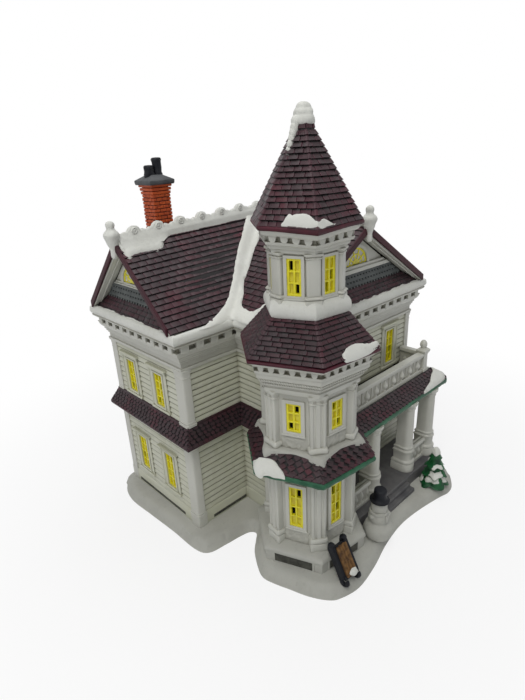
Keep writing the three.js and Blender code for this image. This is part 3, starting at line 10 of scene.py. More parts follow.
import bmesh
import bpy
from mathutils import Matrix, Vector, noise
from mathutils.geometry import delaunay_2d_cdt


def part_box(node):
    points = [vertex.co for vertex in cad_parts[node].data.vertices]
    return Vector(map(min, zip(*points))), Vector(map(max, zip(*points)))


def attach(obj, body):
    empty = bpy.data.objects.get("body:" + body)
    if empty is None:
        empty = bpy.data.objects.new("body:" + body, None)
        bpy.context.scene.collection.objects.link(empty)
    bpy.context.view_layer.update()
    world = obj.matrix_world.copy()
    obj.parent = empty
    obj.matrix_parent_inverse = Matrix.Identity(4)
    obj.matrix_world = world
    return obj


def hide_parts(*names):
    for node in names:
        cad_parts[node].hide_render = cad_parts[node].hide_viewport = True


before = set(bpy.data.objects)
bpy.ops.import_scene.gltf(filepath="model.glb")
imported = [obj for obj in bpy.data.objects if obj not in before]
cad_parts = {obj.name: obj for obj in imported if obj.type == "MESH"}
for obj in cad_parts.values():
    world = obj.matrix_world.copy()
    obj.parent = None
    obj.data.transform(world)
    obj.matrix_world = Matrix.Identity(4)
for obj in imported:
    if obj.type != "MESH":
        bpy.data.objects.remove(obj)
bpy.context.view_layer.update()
rng = random.Random(11)

# Plan zero in the frame, found from the chimney cap, whose corner in the plan is known
CAP_X, CAP_Y = 23.7, 46.3
_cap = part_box("chimney_cap")[0]
DX = _cap[0] * 1000 - CAP_X
DY = _cap[1] * 1000 - CAP_Y

# Sizes of the house, in millimetres, as in the part
MAIN_L, MAIN_D, SETBACK, FRONT_D = 162.8, 77.8, 39.6, 39.0
SNOW, PENT0, PENT1 = 7.0, 67.1, 79.2
FRIEZE, CORNICE, EAVE, RIDGE = 113.8, 133.3, 137.2, 179.4
FOOT, OVER, LEDGE = 4.6, 8.7, 8.2
WALL = 3.5
FRONT_X = (SETBACK + MAIN_L) / 2
RIDGE_Y = MAIN_D / 2
MAIN_HALF = MAIN_D / 2 + FOOT
FRONT_HALF = (MAIN_L - SETBACK) / 2 + FOOT
MAIN_SLOPE = (RIDGE - EAVE) / MAIN_HALF
RISE = 4.2
FRONT_SLOPE = (RIDGE - EAVE) / FRONT_HALF
PLAN = [(0, 0), (SETBACK, 0), (SETBACK, -FRONT_D), (MAIN_L, -FRONT_D), (MAIN_L, MAIN_D), (0, MAIN_D)]
# The six walls: each is the edge of the plan that starts at this corner
SIDE, _, FRONT, RIGHT, BACK, LEFT = range(6)

TX, TY, TURN = 42.8, -52.2, -126.7
HEX = math.cos(math.radians(30))
CORNERS = {"far": -120, "left": -60, "near": 0, "right": 60, "porch": 120}
FACES = {"wing": -90, "left": -30, "front": 30, "porch": 90, "inside": 150}


def lerp(a, b, t):
    return a + (b - a) * t


def wobble(x, y=0.0, z=0.0, scale=1.0):
    return noise.noise(Vector((x * scale, y * scale, z * scale)))


# Mesh building

# A tone is (colour variation, lightness, worn edge), each from 0 to 1; a low lightness paints shade in
# grooves, gaps and undersides, and some soiling
PLAIN = (0.5, 1.0, 0.0)
# Faces of a box whose points are one end, then the other, both the same way round
ENDS = [(0, 3, 2, 1), (4, 5, 6, 7)]
SIDES = [(0, 1, 5, 4), (1, 2, 6, 5), (2, 3, 7, 6), (3, 0, 4, 7)]


def circle(count):
    return [2 * math.pi * k / count for k in range(count)]


def net(rows, cols, flip=False):
    """Faces of a net of rows by cols cells, whose points run along the columns first."""
    faces = []
    for i in range(rows):
        for j in range(cols):
            a = i * (cols + 1) + j
            b = a + cols + 1
            faces.append((a, a + 1, b + 1, b) if flip else (a, b, b + 1, a + 1))
    return faces


class Clay:
    """Points and faces of one piece, with three tones and a material slot for each face."""

    def __init__(self):
        self.points, self.faces, self.tones, self.slots = [], [], [], []

    def add(self, points, faces, tone=PLAIN, slot=0, matrix=None):
        """Faces on new points; tone and slot are one for all faces, or a list."""
        base = len(self.points)
        if matrix is not None:
            points = [matrix @ Vector(p) for p in points]
        self.points.extend(tuple(p) for p in points)
        for i, face in enumerate(faces):
            self.faces.append([base + k for k in face])
            self.tones.append(tone[i] if isinstance(tone, list) else tone)
            self.slots.append(slot[i] if isinstance(slot, list) else slot)


def put(name, clay, materials, body="house", stands_for=(), bevel=0.0, smooth=50,
        segments=2, subdiv=0):
    mesh = bpy.data.meshes.new(name)
    mesh.from_pydata([((x + DX) / 1000, (y + DY) / 1000, z / 1000) for x, y, z in clay.points], [],
                     clay.faces)
    tone = mesh.color_attributes.new("tone", "FLOAT_COLOR", "CORNER")
    k = 0
    for poly, value, index in zip(mesh.polygons, clay.tones, clay.slots):
        poly.material_index = index
        for _ in poly.loop_indices:
            tone.data[k].color = (*value, 1.0)
            k += 1
    for material in materials:
        mesh.materials.append(material)
    work = bmesh.new()
    work.from_mesh(mesh)
    bmesh.ops.remove_doubles(work, verts=work.verts, dist=2e-6)
    bmesh.ops.recalc_face_normals(work, faces=work.faces)
    limit = math.radians(smooth)
    for edge in work.edges:
        edge.smooth = len(edge.link_faces) == 2 and edge.calc_face_angle(0) < limit
    for face in work.faces:
        face.smooth = True
    work.to_mesh(mesh)
    work.free()
    piece = bpy.data.objects.new(name, mesh)
    bpy.context.scene.collection.objects.link(piece)
    if subdiv:
        mod = piece.modifiers.new("soft", "SUBSURF")
        mod.levels = mod.render_levels = subdiv
    if bevel:
        mod = piece.modifiers.new("edge", "BEVEL")
        mod.width = bevel / 1000
        mod.segments = segments
        mod.limit_method = "ANGLE"
        mod.angle_limit = math.radians(38)
        mod.use_clamp_overlap = True
        mod.harden_normals = False
    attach(piece, body)
    if stands_for:
        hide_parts(*stands_for)
    return piece


def block(clay, matrix, x0, x1, y0, y1, z0, z1, tone=PLAIN, slot=0, taper=0.0):
    """A box that may narrow by taper on each side towards its top."""
    t = taper
    corners = [(x0, y0, z0), (x1, y0, z0), (x1, y1, z0), (x0, y1, z0),
               (x0 + t, y0 + t, z1), (x1 - t, y0 + t, z1), (x1 - t, y1 - t, z1), (x0 + t, y1 - t, z1)]
    clay.add(corners, ENDS + SIDES, tone, slot, matrix)


def raised(profile, base):
    return [(r, base + z) for r, z in profile]


def loft(clay, levels, matrix=None, tone=PLAIN, slot=0, caps=True):
    """A skin over rings of points, each ring one level; all rings have the same count."""
    count = len(levels[0])
    faces = []
    for i in range(len(levels) - 1):
        for j in range(count):
            a, b = i * count + j, i * count + (j + 1) % count
            faces.append((a, b, b + count, a + count))
    if caps:
        faces.append(tuple(range(count))[::-1])
        faces.append(tuple(range((len(levels) - 1) * count, len(levels) * count)))
    clay.add([p for level in levels for p in level], faces, tone, slot, matrix)


def lathe(clay, profile, segments, matrix, lump=0.0, seed=0):
    """Turns (radius, height) points about Z; lump makes the form uneven, as by hand."""
    levels = []
    for r, z in profile:
        level = []
        for a in circle(segments):
            d = 1 + lump * wobble(math.cos(a) * 1.7 + seed, math.sin(a) * 1.7, z * 0.35)
            level.append((r * d * math.cos(a), r * d * math.sin(a), z))
        levels.append(level)
    loft(clay, levels, matrix)


def mitres(plan):
    """For each corner, how far it moves when the plan grows by 1."""
    def normal(a, b):
        d = Vector((b[0] - a[0], b[1] - a[1])).normalized()
        return Vector((d.y, -d.x))
    result = []
    n = len(plan)
    for i in range(n):
        before, after = normal(plan[i - 1], plan[i]), normal(plan[i], plan[(i + 1) % n])
        result.append((before + after) / (1 + before.dot(after)))
    return result


def beside(plan, mitre, edge, d, t):
    """Point at share t of an edge of the plan, at an outset d."""
    (x0, y0), (x1, y1) = plan[edge], plan[(edge + 1) % len(plan)]
    m0, m1 = mitre[edge], mitre[(edge + 1) % len(plan)]
    return lerp(x0 + m0[0] * d, x1 + m1[0] * d, t), lerp(y0 + m0[1] * d, y1 + m1[1] * d, t)


def ring(clay, plan, profile, tones=None, slots=None, steps=1, ripple=0.0, skip=()):
    """Carries (outset, height) points round a plan; ripple roughens it along the way."""
    mitre = mitres(plan)
    cells = len(profile) - 1
    for edge in range(len(plan)):
        if edge in skip:
            continue
        for s in range(steps):
            points = []
            for t in (s / steps, (s + 1) / steps):
                for k, (d, z) in enumerate(profile):
                    x, y = beside(plan, mitre, edge, d, t)
                    if ripple:
                        z += ripple * wobble(x, y, k * 3.1, 0.35)
                    points.append((x, y, z))
            clay.add(points, net(1, cells), list(tones or [PLAIN] * cells), list(slots or [0] * cells))


def about_tower(reach, angle):
    """Plan point at a distance and an angle (in radians) from the tower's axis."""
    return TX + reach * math.cos(angle), TY + reach * math.sin(angle)


def hexagon(apothem):
    return [about_tower(apothem / HEX, math.radians(TURN + 60 * i)) for i in range(6)]


def wall_at(edge, along, height):
    """Placement on a wall of the house: X along the wall, Y inwards."""
    (x0, y0), (x1, y1) = PLAN[edge], PLAN[(edge + 1) % 6]
    a = math.atan2(y1 - y0, x1 - x0)
    return Matrix.Translation((x0 + math.cos(a) * along, y0 + math.sin(a) * along,
                               height)) @ Matrix.Rotation(a, 4, "Z")


def wall_length(edge):
    (x0, y0), (x1, y1) = PLAN[edge], PLAN[(edge + 1) % 6]
    return math.hypot(x1 - x0, y1 - y0)


def tower_at(angle, height, apothem=0.0):
    """Placement on the tower: X along the face, Y inwards."""
    turn = Matrix.Rotation(math.radians(TURN + angle + 90), 4, "Z")
    return Matrix.Translation((TX, TY, height)) @ turn @ Matrix.Translation((0, -apothem, 0))


# Materials


def srgb(r, g, b):
    def lin(c):
        c /= 255
        return c / 12.92 if c <= 0.04045 else ((c + 0.055) / 1.055) ** 2.4
    return (lin(r), lin(g), lin(b), 1.0)


def shade(color, share):
    return tuple(c * share for c in color[:3]) + (1.0,)


def add_node(tree, kind, sockets, output=0, **settings):
    """A node with its sockets fed by numbers, colours or other nodes; gives one output."""
    node = tree.nodes.new("ShaderNode" + kind)
    for name, value in settings.items():
        setattr(node, name, value)
    for name, value in sockets.items():
        if isinstance(value, bpy.types.NodeSocket):
            tree.links.new(value, node.inputs[name])
        else:
            node.inputs[name].default_value = value
    return node.outputs[output]


class Paint:
    """A node material: layers of colour by noise and by the tone of the face, and a bump."""

    def __init__(self, name, color, rough=0.5, metal=0.0, coat=0.0, shine=0.5):
        self.material = bpy.data.materials.new(name)
        self.material.use_nodes = True
        self.tree = self.material.node_tree
        self.bsdf = self.tree.nodes["Principled BSDF"]
        for socket, value in (("Roughness", rough), ("Metallic", metal), ("Coat Weight", coat),
                              ("Coat Roughness", 0.25), ("Specular IOR Level", shine)):
            self.bsdf.inputs[socket].default_value = value
        self.color = self.tree.nodes.new("ShaderNodeRGB").outputs[0]
        self.color.default_value = color
        self.coords = add_node(self.tree, "TexCoord", {}, "Object")
        self.height = None

    def noise(self, scale, detail=4.0, rough=0.55):
        sockets = {"Scale": scale, "Detail": detail, "Roughness": rough, "Vector": self.coords}
        return add_node(self.tree, "TexNoise", sockets, "Fac")

    def spread(self, value, low, high, to_low=0.0, to_high=1.0):
        """Maps low..high to to_low..to_high, and holds the ends."""
        sockets = {"Value": value, "From Min": low, "From Max": high, "To Min": to_low, "To Max": to_high}
        return add_node(self.tree, "MapRange", sockets, "Result")

    def tone(self, channel):
        color = add_node(self.tree, "Attribute", {}, "Color", attribute_name="tone")
        return add_node(self.tree, "SeparateColor", {"Color": color}, channel)

    def crevice(self, reach):
        """How open the surface is within a short reach: 0 in a corner, 1 on a flat; used to paint shade into
        corners and creases.
        """
        return add_node(self.tree, "AmbientOcclusion", {"Distance": reach}, "AO", samples=5)

    def times(self, a, b):
        return add_node(self.tree, "Math", {0: a, 1: b}, operation="MULTIPLY")

    def over(self, color, fac):
        """Lays a colour over what is there, as far as fac says."""
        self.color = add_node(self.tree, "Mix", {0: fac, 6: self.color, 7: color}, 2, data_type="RGBA")
        return self

    def grime_and_shade(self, color, low=0.0, high=1.0):
        """Darkens a face as far as its tone's lightness is low: painted shade in grooves, gaps and
        undersides, and some soiling.
        """
        return self.over(color, self.spread(self.tone("Green"), 1.0, 0.0, low, high))

    def bump(self, value, depth, strength=0.6):
        sockets = {"Strength": strength, "Distance": depth, "Height": value}
        if self.height is not None:
            sockets["Normal"] = self.height
        self.height = add_node(self.tree, "Bump", sockets, "Normal")
        return self

    def done(self):
        self.tree.links.new(self.color, self.bsdf.inputs["Base Color"])
        if self.height is not None:
            self.tree.links.new(self.height, self.bsdf.inputs["Normal"])
        return self.material


def make_cream():
    p = Paint("cream_glaze", srgb(198, 199, 181), 0.45, coat=0.12)
    p.over(srgb(190, 190, 166), p.spread(p.noise(28, 5), 0.42, 0.68, 0, 0.6))
    p.over(srgb(214, 214, 202), p.spread(p.tone("Red"), 0.5, 1.0, 0.0, 0.35))
    # painted shade in crevices, then painted shade with some soiling where the tone's lightness is low
    p.over(srgb(128, 126, 98), p.spread(p.crevice(0.005), 0.75, 0.2, 0, 0.75))
    p.grime_and_shade(srgb(92, 90, 64))
    p.bump(p.noise(900, 3), 0.0002, 0.35).bump(p.noise(160, 3), 0.0004, 0.3)
    return p.done()


def make_trim():
    p = Paint("grey_white_trim", srgb(196, 196, 187), 0.45, coat=0.12)
    p.over(srgb(182, 182, 172), p.spread(p.noise(45, 5), 0.42, 0.7, 0, 0.55))
    # painted shade in crevices, then painted shade with some soiling where the tone's lightness is low
    p.over(srgb(134, 130, 110), p.spread(p.crevice(0.003), 0.7, 0.15, 0, 0.6))
    p.grime_and_shade(srgb(96, 92, 72))
    p.bump(p.noise(800, 3), 0.0002, 0.3).bump(p.noise(150, 3), 0.0005, 0.35)
    return p.done()


def make_snow(name, color, dirt_and_shade):
    p = Paint(name, color, 0.72)
    p.over(dirt_and_shade, p.spread(p.noise(34, 6, 0.65), 0.47, 0.72, 0, 0.55))
    p.over(dirt_and_shade, p.spread(p.noise(420, 3), 0.58, 0.75, 0, 0.4))
    # painted shade in crevices
    p.over(shade(dirt_and_shade, 0.5), p.spread(p.crevice(0.002), 0.6, 0.15, 0, 0.35))
    p.bump(p.noise(1100, 3), 0.00025, 0.5).bump(p.noise(210, 3), 0.0006, 0.35)
    return p.done()


def make_tile():
    p = Paint("burgundy_tile", srgb(54, 40, 44), 0.6, shine=0.32)
    p.over(srgb(64, 26, 36), p.spread(p.noise(48, 5, 0.6), 0.42, 0.62, 0, 0.85))
    p.over(srgb(82, 20, 36), p.spread(p.noise(70, 4, 0.6), 0.56, 0.72, 0, 0.7))
    p.over(srgb(46, 38, 41), p.spread(p.tone("Red"), 0.4, 1.0, 0, 0.7))
    p.over(srgb(104, 62, 74), p.times(p.tone("Blue"), p.spread(p.noise(260, 3), 0.35, 0.65, 0.12, 0.75)))
    # painted shade on tile ends, undersides and the sheet seen between tiles, then painted shade in crevices
    p.grime_and_shade(srgb(10, 5, 7))
    p.over(srgb(14, 8, 10), p.spread(p.crevice(0.0016), 0.75, 0.3, 0, 0.8))
    p.over(srgb(86, 76, 78), p.spread(p.noise(620, 3), 0.62, 0.8, 0, 0.28))
    p.tree.links.new(p.spread(p.noise(120, 4), 0.35, 0.7, 0.45, 0.66), p.bsdf.inputs["Roughness"])
    p.bump(p.noise(1300, 3), 0.0002, 0.4).bump(p.noise(300, 3), 0.0005, 0.4)
    return p.done()


def make_plain(name, color, other, rough=0.5, scale=120, amount=0.6, metal=0.0, bump=0.3,
               coat=0.0, shine=0.5):
    """Two shades in soft patches, darkened where the tone's lightness is low: painted shade in gaps and
    undersides, and some soiling.
    """
    p = Paint(name, color, rough, metal, coat, shine)
    p.over(other, p.spread(p.noise(scale, 4), 0.4, 0.7, 0, amount))
    p.grime_and_shade(shade(color, 0.25), high=0.9)
    p.bump(p.noise(scale * 7, 3), 0.0003, bump)
    return p.done()


cream = make_cream()
trim = make_trim()
snow = make_snow("snow_glaze", srgb(222, 223, 216), srgb(196, 196, 186))
ground = make_snow("ground_snow", srgb(180, 180, 172), srgb(156, 155, 147))
tile = make_tile()
rake_paint = make_plain("rake_paint", srgb(56, 13, 26), srgb(36, 15, 22), 0.55, 60, 0.8, shine=0.25)
rim_paint = make_plain("rim_paint", srgb(74, 14, 32), srgb(38, 16, 23), 0.5, 55, 0.9, shine=0.3)
dark = make_plain("deep_shadow", srgb(22, 18, 17), srgb(12, 10, 10), 0.8, 80)
yellow = make_plain("yellow_paint", srgb(230, 220, 12), srgb(202, 190, 18), 0.38, 260, 0.7, coat=0.2)
pane = make_plain("pane_paint", srgb(196, 178, 14), srgb(224, 214, 60), 0.42, 260, 0.9)
slate = make_plain("slate_band", srgb(94, 98, 97), srgb(66, 70, 70), 0.65, 160, 0.8, shine=0.3)
green = make_plain("green_trim", srgb(18, 76, 50), srgb(52, 112, 80), 0.5, 110, 0.9, shine=0.35)
brick = make_plain("brick", srgb(196, 84, 26), srgb(166, 58, 20), 0.6, 320, 0.8)
mortar = make_plain("mortar", srgb(84, 34, 20), srgb(64, 28, 18), 0.8, 220)
stone = make_plain("porch_stone", srgb(100, 99, 99), srgb(70, 70, 73), 0.6, 70, 0.9, shine=0.35)
cap_grey = make_plain("cap_grey", srgb(84, 86, 88), srgb(58, 60, 62), 0.65, 120, 0.8, shine=0.3)
black = make_plain("black_paint", srgb(12, 14, 20), srgb(30, 33, 40), 0.5, 140, 0.6, shine=0.2)
leaf = make_plain("evergreen", srgb(8, 84, 40), srgb(4, 40, 26), 0.5, 170, 1.0, coat=0.05, bump=0.8,
                  shine=0.3)
wood = make_plain("sled_wood", srgb(126, 92, 52), srgb(66, 44, 26), 0.65, 420, 1.0, shine=0.3)
vent = make_plain("foundation_dark", srgb(84, 84, 76), srgb(44, 44, 40), 0.7, 240, 0.9, bump=0.8, shine=0.3)
door_paint = make_plain("door_paint", srgb(96, 44, 44), srgb(70, 30, 32), 0.45, 160, 0.7)
plastic = make_plain("lamp_plastic", srgb(222, 219, 208), srgb(206, 202, 190), 0.42, 300, 0.4, bump=0.15)
brass = make_plain("brass_shell", srgb(186, 150, 84), srgb(150, 120, 66), 0.3, 260, 0.6, metal=1.0, bump=0.15)

glass = Paint("bulb_glass", srgb(250, 246, 232), 0.08)
glass.bsdf.inputs["Transmission Weight"].default_value = 0.85
glass.bump(glass.noise(90, 2), 0.0002, 0.1)
glass.over(srgb(244, 238, 214), glass.spread(glass.noise(60, 3), 0.4, 0.7, 0, 0.4))
glass = glass.done()

# Walls


LAP = 0.75


def boards(clay, edge, z0, z1, pitch, holes):
    """Lapped boards on one wall, left out where a hole or a casing is."""
    length = wall_length(edge)
    rows = round((z1 - z0) / pitch)
    pitch = (z1 - z0) / rows
    cuts = sorted({0.0, length, *(x for hole in holes for x in hole[:2])})
    for row in range(rows):
        z = z0 + row * pitch
        mid = z + pitch / 2
        for a, b in zip(cuts, cuts[1:]):
            centre = (a + b) / 2
            if in_hole(holes, centre, mid):
                continue
            steps = max(1, int((b - a) / 3))
            for s in range(steps):
                points = []
                for x in (lerp(a, b, s / steps), lerp(a, b, (s + 1) / steps)):
                    n = 0.16 * wobble(x + edge * 50, z, 0, 0.22)
                    points += [(x, 0.1, z + n), (x, -LAP * 0.75, z + 0.1 + n), (x, -LAP, z + 0.5 + n),
                               (x, -LAP * 0.38, z + pitch - 0.5 + n), (x, 0.1, z + pitch + n)]
                # the lip under each board and a strip along its top are painted with shade
                tone = rng.uniform(0.3, 0.9)
                clay.add(points, net(1, 4, flip=True), [(tone, unshaded, 0) for unshaded in (0.1, 0.8, 1.0, 0.4)],
                         matrix=wall_at(edge, 0, 0))


def upright(x0, x1, z0, z1, y):
    """The corners of an upright rectangle."""
    return [(x0, y, z0), (x1, y, z0), (x1, y, z1), (x0, y, z1)]


def in_hole(holes, x, z):
    return any(x0 < x < x1 and z0 < z < z1 for x0, x1, z0, z1 in holes)


def flat_wall(clay, edge, z0, z1, depth, holes, tone=PLAIN):
    """A plane with rectangular holes, at a depth behind the wall's face."""
    length = wall_length(edge)
    xs = sorted({0.0, length, *(min(max(x, 0.0), length) for h in holes for x in h[:2])})
    zs = sorted({z0, z1, *(min(max(z, z0), z1) for h in holes for z in h[2:])})
    for a, b in zip(xs, xs[1:]):
        for c, d in zip(zs, zs[1:]):
            if not in_hole(holes, (a + b) / 2, (c + d) / 2):
                clay.add(upright(a, b, c, d, depth), [(0, 1, 2, 3)], tone, matrix=wall_at(edge, 0, 0))


def jamb(clay, matrix, width, height, y0, y1):
    """The four sides of an opening, from y0 to y1, painted a little darker as shade."""
    w = width / 2
    points = upright(-w, w, 0, height, y0) + upright(-w, w, 0, height, y1)
    clay.add(points, SIDES, (0.5, 0.7, 0), matrix=matrix)


def border(clay, matrix, inner, outer, y0, y1, tone=PLAIN):
    """A rectangular frame between two rectangles (x0, x1, z0, z1), from y0 (front) to y1."""
    points = upright(*outer, y0) + upright(*inner, y0) + upright(*outer, y1) + upright(*inner, y1)
    faces = []
    for i in range(4):
        j = (i + 1) % 4
        faces += [(i, j, 4 + j, 4 + i), (8 + i, 8 + j, j, i), (4 + i, 4 + j, 12 + j, 12 + i),
                  (12 + i, 12 + j, 8 + j, 8 + i)]
    clay.add(points, faces, tone, matrix=matrix)


def casing(clay, matrix, width, height, side, hood, sill=True):
    """Moulded frame round an opening: a board with a raised rim at both edges, sill and hood."""
    proud, back, rim = 1.5, 1.0, 0.8
    w = width / 2
    out = w + side
    top = height + side * 0.5
    bottom = -side * 0.5
    border(clay, matrix, (-w - 1.1, w + 1.1, -1.0, height + 1.0), (-out, out, bottom, top), -proud * 0.62,
           back)
    border(clay, matrix, (-w, w, 0, height), (-w - 1.25, w + 1.25, -1.15, height + 1.15), -proud, back)
    border(clay, matrix, (-out + rim, out - rim, bottom + rim, top - rim), (-out, out, bottom, top),
           -proud * 0.9, back)
    if sill:
        block(clay, matrix, -out - 0.3, out + 0.3, -proud - 0.5, back, bottom - 0.5, bottom + 1.0)
    block(clay, matrix, -out - 0.5, out + 0.5, -proud - 0.6, back, top - 0.2, top + hood * 0.55)
    block(clay, matrix, -out - 1.2, out + 1.2, -proud - 1.3, back, top + hood * 0.55, top + hood)


def window(name, matrix, width, height, rows, open_panes, node, bar=1.0):
    """Yellow lattice: bars in relief over sunk panes, with a few panes (column, row) pierced."""
    clay = Clay()
    w = width / 2
    border(clay, matrix, (-w + bar, w - bar, bar, height - bar), (-w - 0.25, w + 0.25, -0.25, height + 0.25),
           -0.35, 1.6)
    pane_w = (width - 3 * bar) / 2
    pane_h = (height - bar * (rows + 1)) / rows
    block(clay, matrix, -bar / 2, bar / 2, -0.3, 1.5, bar * 0.5, height - bar * 0.5)
    for r in range(1, rows):
        z = r * (pane_h + bar)
        block(clay, matrix, -w + bar * 0.5, w - bar * 0.5, -0.2, 1.5, z + 0.08, z + bar - 0.08)
    for c in range(2):
        for r in range(rows):
            x = -w + bar + c * (pane_w + bar)
            z = bar + r * (pane_h + bar)
            # a pierced pane has a pocket behind it, painted dark as the shade inside the house
            if (c, r) in open_panes:
                rim = (x - 0.2, x + pane_w + 0.2, z - 0.2, z + pane_h + 0.2)
                clay.add(upright(*rim, 1.3) + upright(*rim, 4.2), SIDES + ENDS[1:], (0.5, 0.3, 0), 2, matrix)
            else:
                block(clay, matrix, x - 0.3, x + pane_w + 0.3, 0.55, 1.5, z - 0.3, z + pane_h + 0.3, slot=1)
    put(name, clay, [yellow, pane, dark], stands_for=[node], bevel=0.22)


def blind_window(name, matrix, width, height, rows, pad=0.0, bevel=0.2):
    """A lattice with no pierced pane, for the sides that the photograph doesn't show."""
    clay = Clay()
    w = width / 2
    border(clay, matrix, (-w + 1, w - 1, 1, height - 1), (-w - 0.2, w + 0.2, -0.2, height + 0.2), -0.35, 1.6)
    block(clay, matrix, -0.5, 0.5, -0.3, 1.5, 0.5, height - 0.5)
    for r in range(1, rows):
        z = height * r / rows
        block(clay, matrix, -w + 0.5, w - 0.5, -0.2, 1.5, z - 0.45, z + 0.45)
    block(clay, matrix, -w - pad, w + pad, 0.55, 1.5, 0.2, height - 0.2, slot=1)
    put(name, clay, [yellow, pane], bevel=bevel)


# Depth of the flat wall behind the boards
SKIN = 0.1
# Windows: (edge, along, sill, width, height)
LEFT_NEAR, LEFT_FAR = MAIN_D - 25.5, MAIN_D - 56.5
RIGHT_NEAR, RIGHT_FAR = FRONT_D + 25.5, FRONT_D + 56.5
FRONT_WIN = 140.2 - SETBACK
DOOR_ALONG = 103.4 - SETBACK
SIDE_CASING = 4.6
UPPER_WINDOW, LOWER_WINDOW = (83.1, 9, 21.3), (24, 9, 24.9)
upper_windows = [(LEFT, LEFT_NEAR, *UPPER_WINDOW), (LEFT, LEFT_FAR, *UPPER_WINDOW),
                 (FRONT, FRONT_WIN, 83.1, 9, 23.5), (RIGHT, RIGHT_NEAR, *UPPER_WINDOW),
                 (RIGHT, RIGHT_FAR, *UPPER_WINDOW)]
lower_windows = [(edge, along, *LOWER_WINDOW) for edge, along in
                 ((LEFT, LEFT_NEAR), (LEFT, LEFT_FAR), (RIGHT, RIGHT_NEAR), (RIGHT, RIGHT_FAR))]
LAMP_X, LAMP_Z, LAMP_R = 81.4, 29.0, 16.0


def storey(z0, z1, board0, board1, pitch, windows, extra=()):
    """The boards, inner faces and window openings of one storey; extra holds further holes."""
    clay = Clay()
    for edge in range(6):
        here = [w for w in windows if w[0] == edge]
        more = [e[1:] for e in extra if e[0] == edge]
        reach = SIDE_CASING - 0.5
        cased = [(a - w / 2 - reach, a + w / 2 + reach, s - 2, s + h + 2) for _, a, s, w, h in here]
        holes = [(a - w / 2, a + w / 2, s, s + h) for _, a, s, w, h in here]
        boards(clay, edge, board0, board1, pitch, cased + more)
        flat_wall(clay, edge, z0, z1, SKIN, holes + more)
        # the inner face is painted darker, as the shade inside the house
        flat_wall(clay, edge, z0, z1, WALL, holes + more, tone=(0.5, 0.4, 0))
        for _, a, s, w, h in here:
            jamb(clay, wall_at(edge, a, s), w, h, SKIN, WALL)
    return clay


def pilaster(clay, x, y, sx, sy, z0, z1, base, proud=1.4, swell=0.55):
    """A corner pilaster: broad on the side wall, narrow on the other, with base and capital."""
    wx, wy, c = 4.3, 6.2, 1.5

    def slab(extra, low, high):
        extra *= swell
        x0, y0 = x - sx * (proud + extra), y - sy * (proud + extra)
        x1, y1 = x + sx * (wx + extra), y + sy * (wy + extra)
        outline = [(x0 + sx * c, y0), (x1, y0), (x1, y + sy * 0.5), (x + sx * 0.5, y + sy * 0.5),
                   (x + sx * 0.5, y1), (x0, y1), (x0, y0 + sy * c), (x0 + sx * c * 0.3, y0 + sy * c * 0.3)]
        loft(clay, [[(*p, low) for p in outline], [(*p, high) for p in outline]], slot=1)
    slab(0, z0, z1)
    slab(0.75, z0, z0 + base)
    slab(1.0, z0 + base * 0.86, z0 + base + 0.9)
    slab(0.45, z0 + base + 0.9, z0 + base + 2.2)
    slab(0.35, z1 - 5.4, z1 - 4.4)
    slab(0.55, z1 - 2.6, z1)
    slab(0.95, z1 - 1.3, z1)


# Corners with pilasters: x, y and which way the house lies; the one at the back stands less proud
HOUSE_CORNERS = [(0, 0, 1, 1), (MAIN_L, -FRONT_D, -1, 1), (MAIN_L, MAIN_D, -1, -1), (0, MAIN_D, 1, -1)]
BACK_LEFT = HOUSE_CORNERS[3]
BACK_PROUD, BACK_SWELL = 1.2, 0.2


def pilasters(clay, z0, z1, base):
    for corner in HOUSE_CORNERS:
        pilaster(clay, *corner, z0, z1, base, *((BACK_PROUD, BACK_SWELL) if corner == BACK_LEFT else ()))


# Lower storey
DOOR_SILL, DOOR_W, DOOR_H = 16.5, 13, 30
door_hole = (FRONT, DOOR_ALONG - DOOR_W / 2, DOOR_ALONG + DOOR_W / 2, DOOR_SILL, DOOR_SILL + DOOR_H)
lamp_hole = (BACK, MAIN_L - LAMP_X - LAMP_R, MAIN_L - LAMP_X + LAMP_R, LAMP_Z - LAMP_R, LAMP_Z + LAMP_R)
clay = storey(SNOW, PENT0 + 1, DOOR_SILL, PENT0, 3.9, lower_windows, [door_hole, lamp_hole])
pilasters(clay, SNOW - 0.5, PENT0, 9.0)
for edge, along, sill, w, h in lower_windows:
    casing(clay, wall_at(edge, along, sill), w, h, SIDE_CASING, hood=1.4)
# base board with its dark slot
ring(clay, PLAN, [(0.0, SNOW - 1), (1.1, SNOW - 1), (1.1, 15.2), (0.9, 16.0), (0.2, 16.6)], slots=[0] * 4)
for edge, a, b in ((LEFT, 9, MAIN_D - 14), (SIDE, 10, SETBACK - 2), (RIGHT, 12, MAIN_D + FRONT_D - 12)):
    block(clay, wall_at(edge, 0, 0), a, b, -1.3, 0.5, 8.4, 10.6, slot=2)
door = wall_at(FRONT, DOOR_ALONG, DOOR_SILL)
casing(clay, door, DOOR_W, DOOR_H, 3.2, hood=2.0, sill=False)
jamb(clay, door, DOOR_W, DOOR_H, SKIN, WALL)
put("lower_walls_clapboard", clay, [cream, trim, vent], stands_for=["lower_walls"], bevel=0.3)

# Boss round the lamp's hole, with the hole's own wall
clay = Clay()
to_lamp = Matrix.Translation((LAMP_X, MAIN_D, LAMP_Z)) @ Matrix.Rotation(-math.pi / 2, 4, "X")
levels = [(LAMP_R, -WALL), (LAMP_R, 0.7), (LAMP_R + 0.4, 1.0), (20.0, 1.0), (20.6, 0.6), (20.8, -0.4)]
rings = [[(r * math.cos(a), r * math.sin(a), h) for a in circle(48)] for r, h in levels]
loft(clay, rings, to_lamp, caps=False)
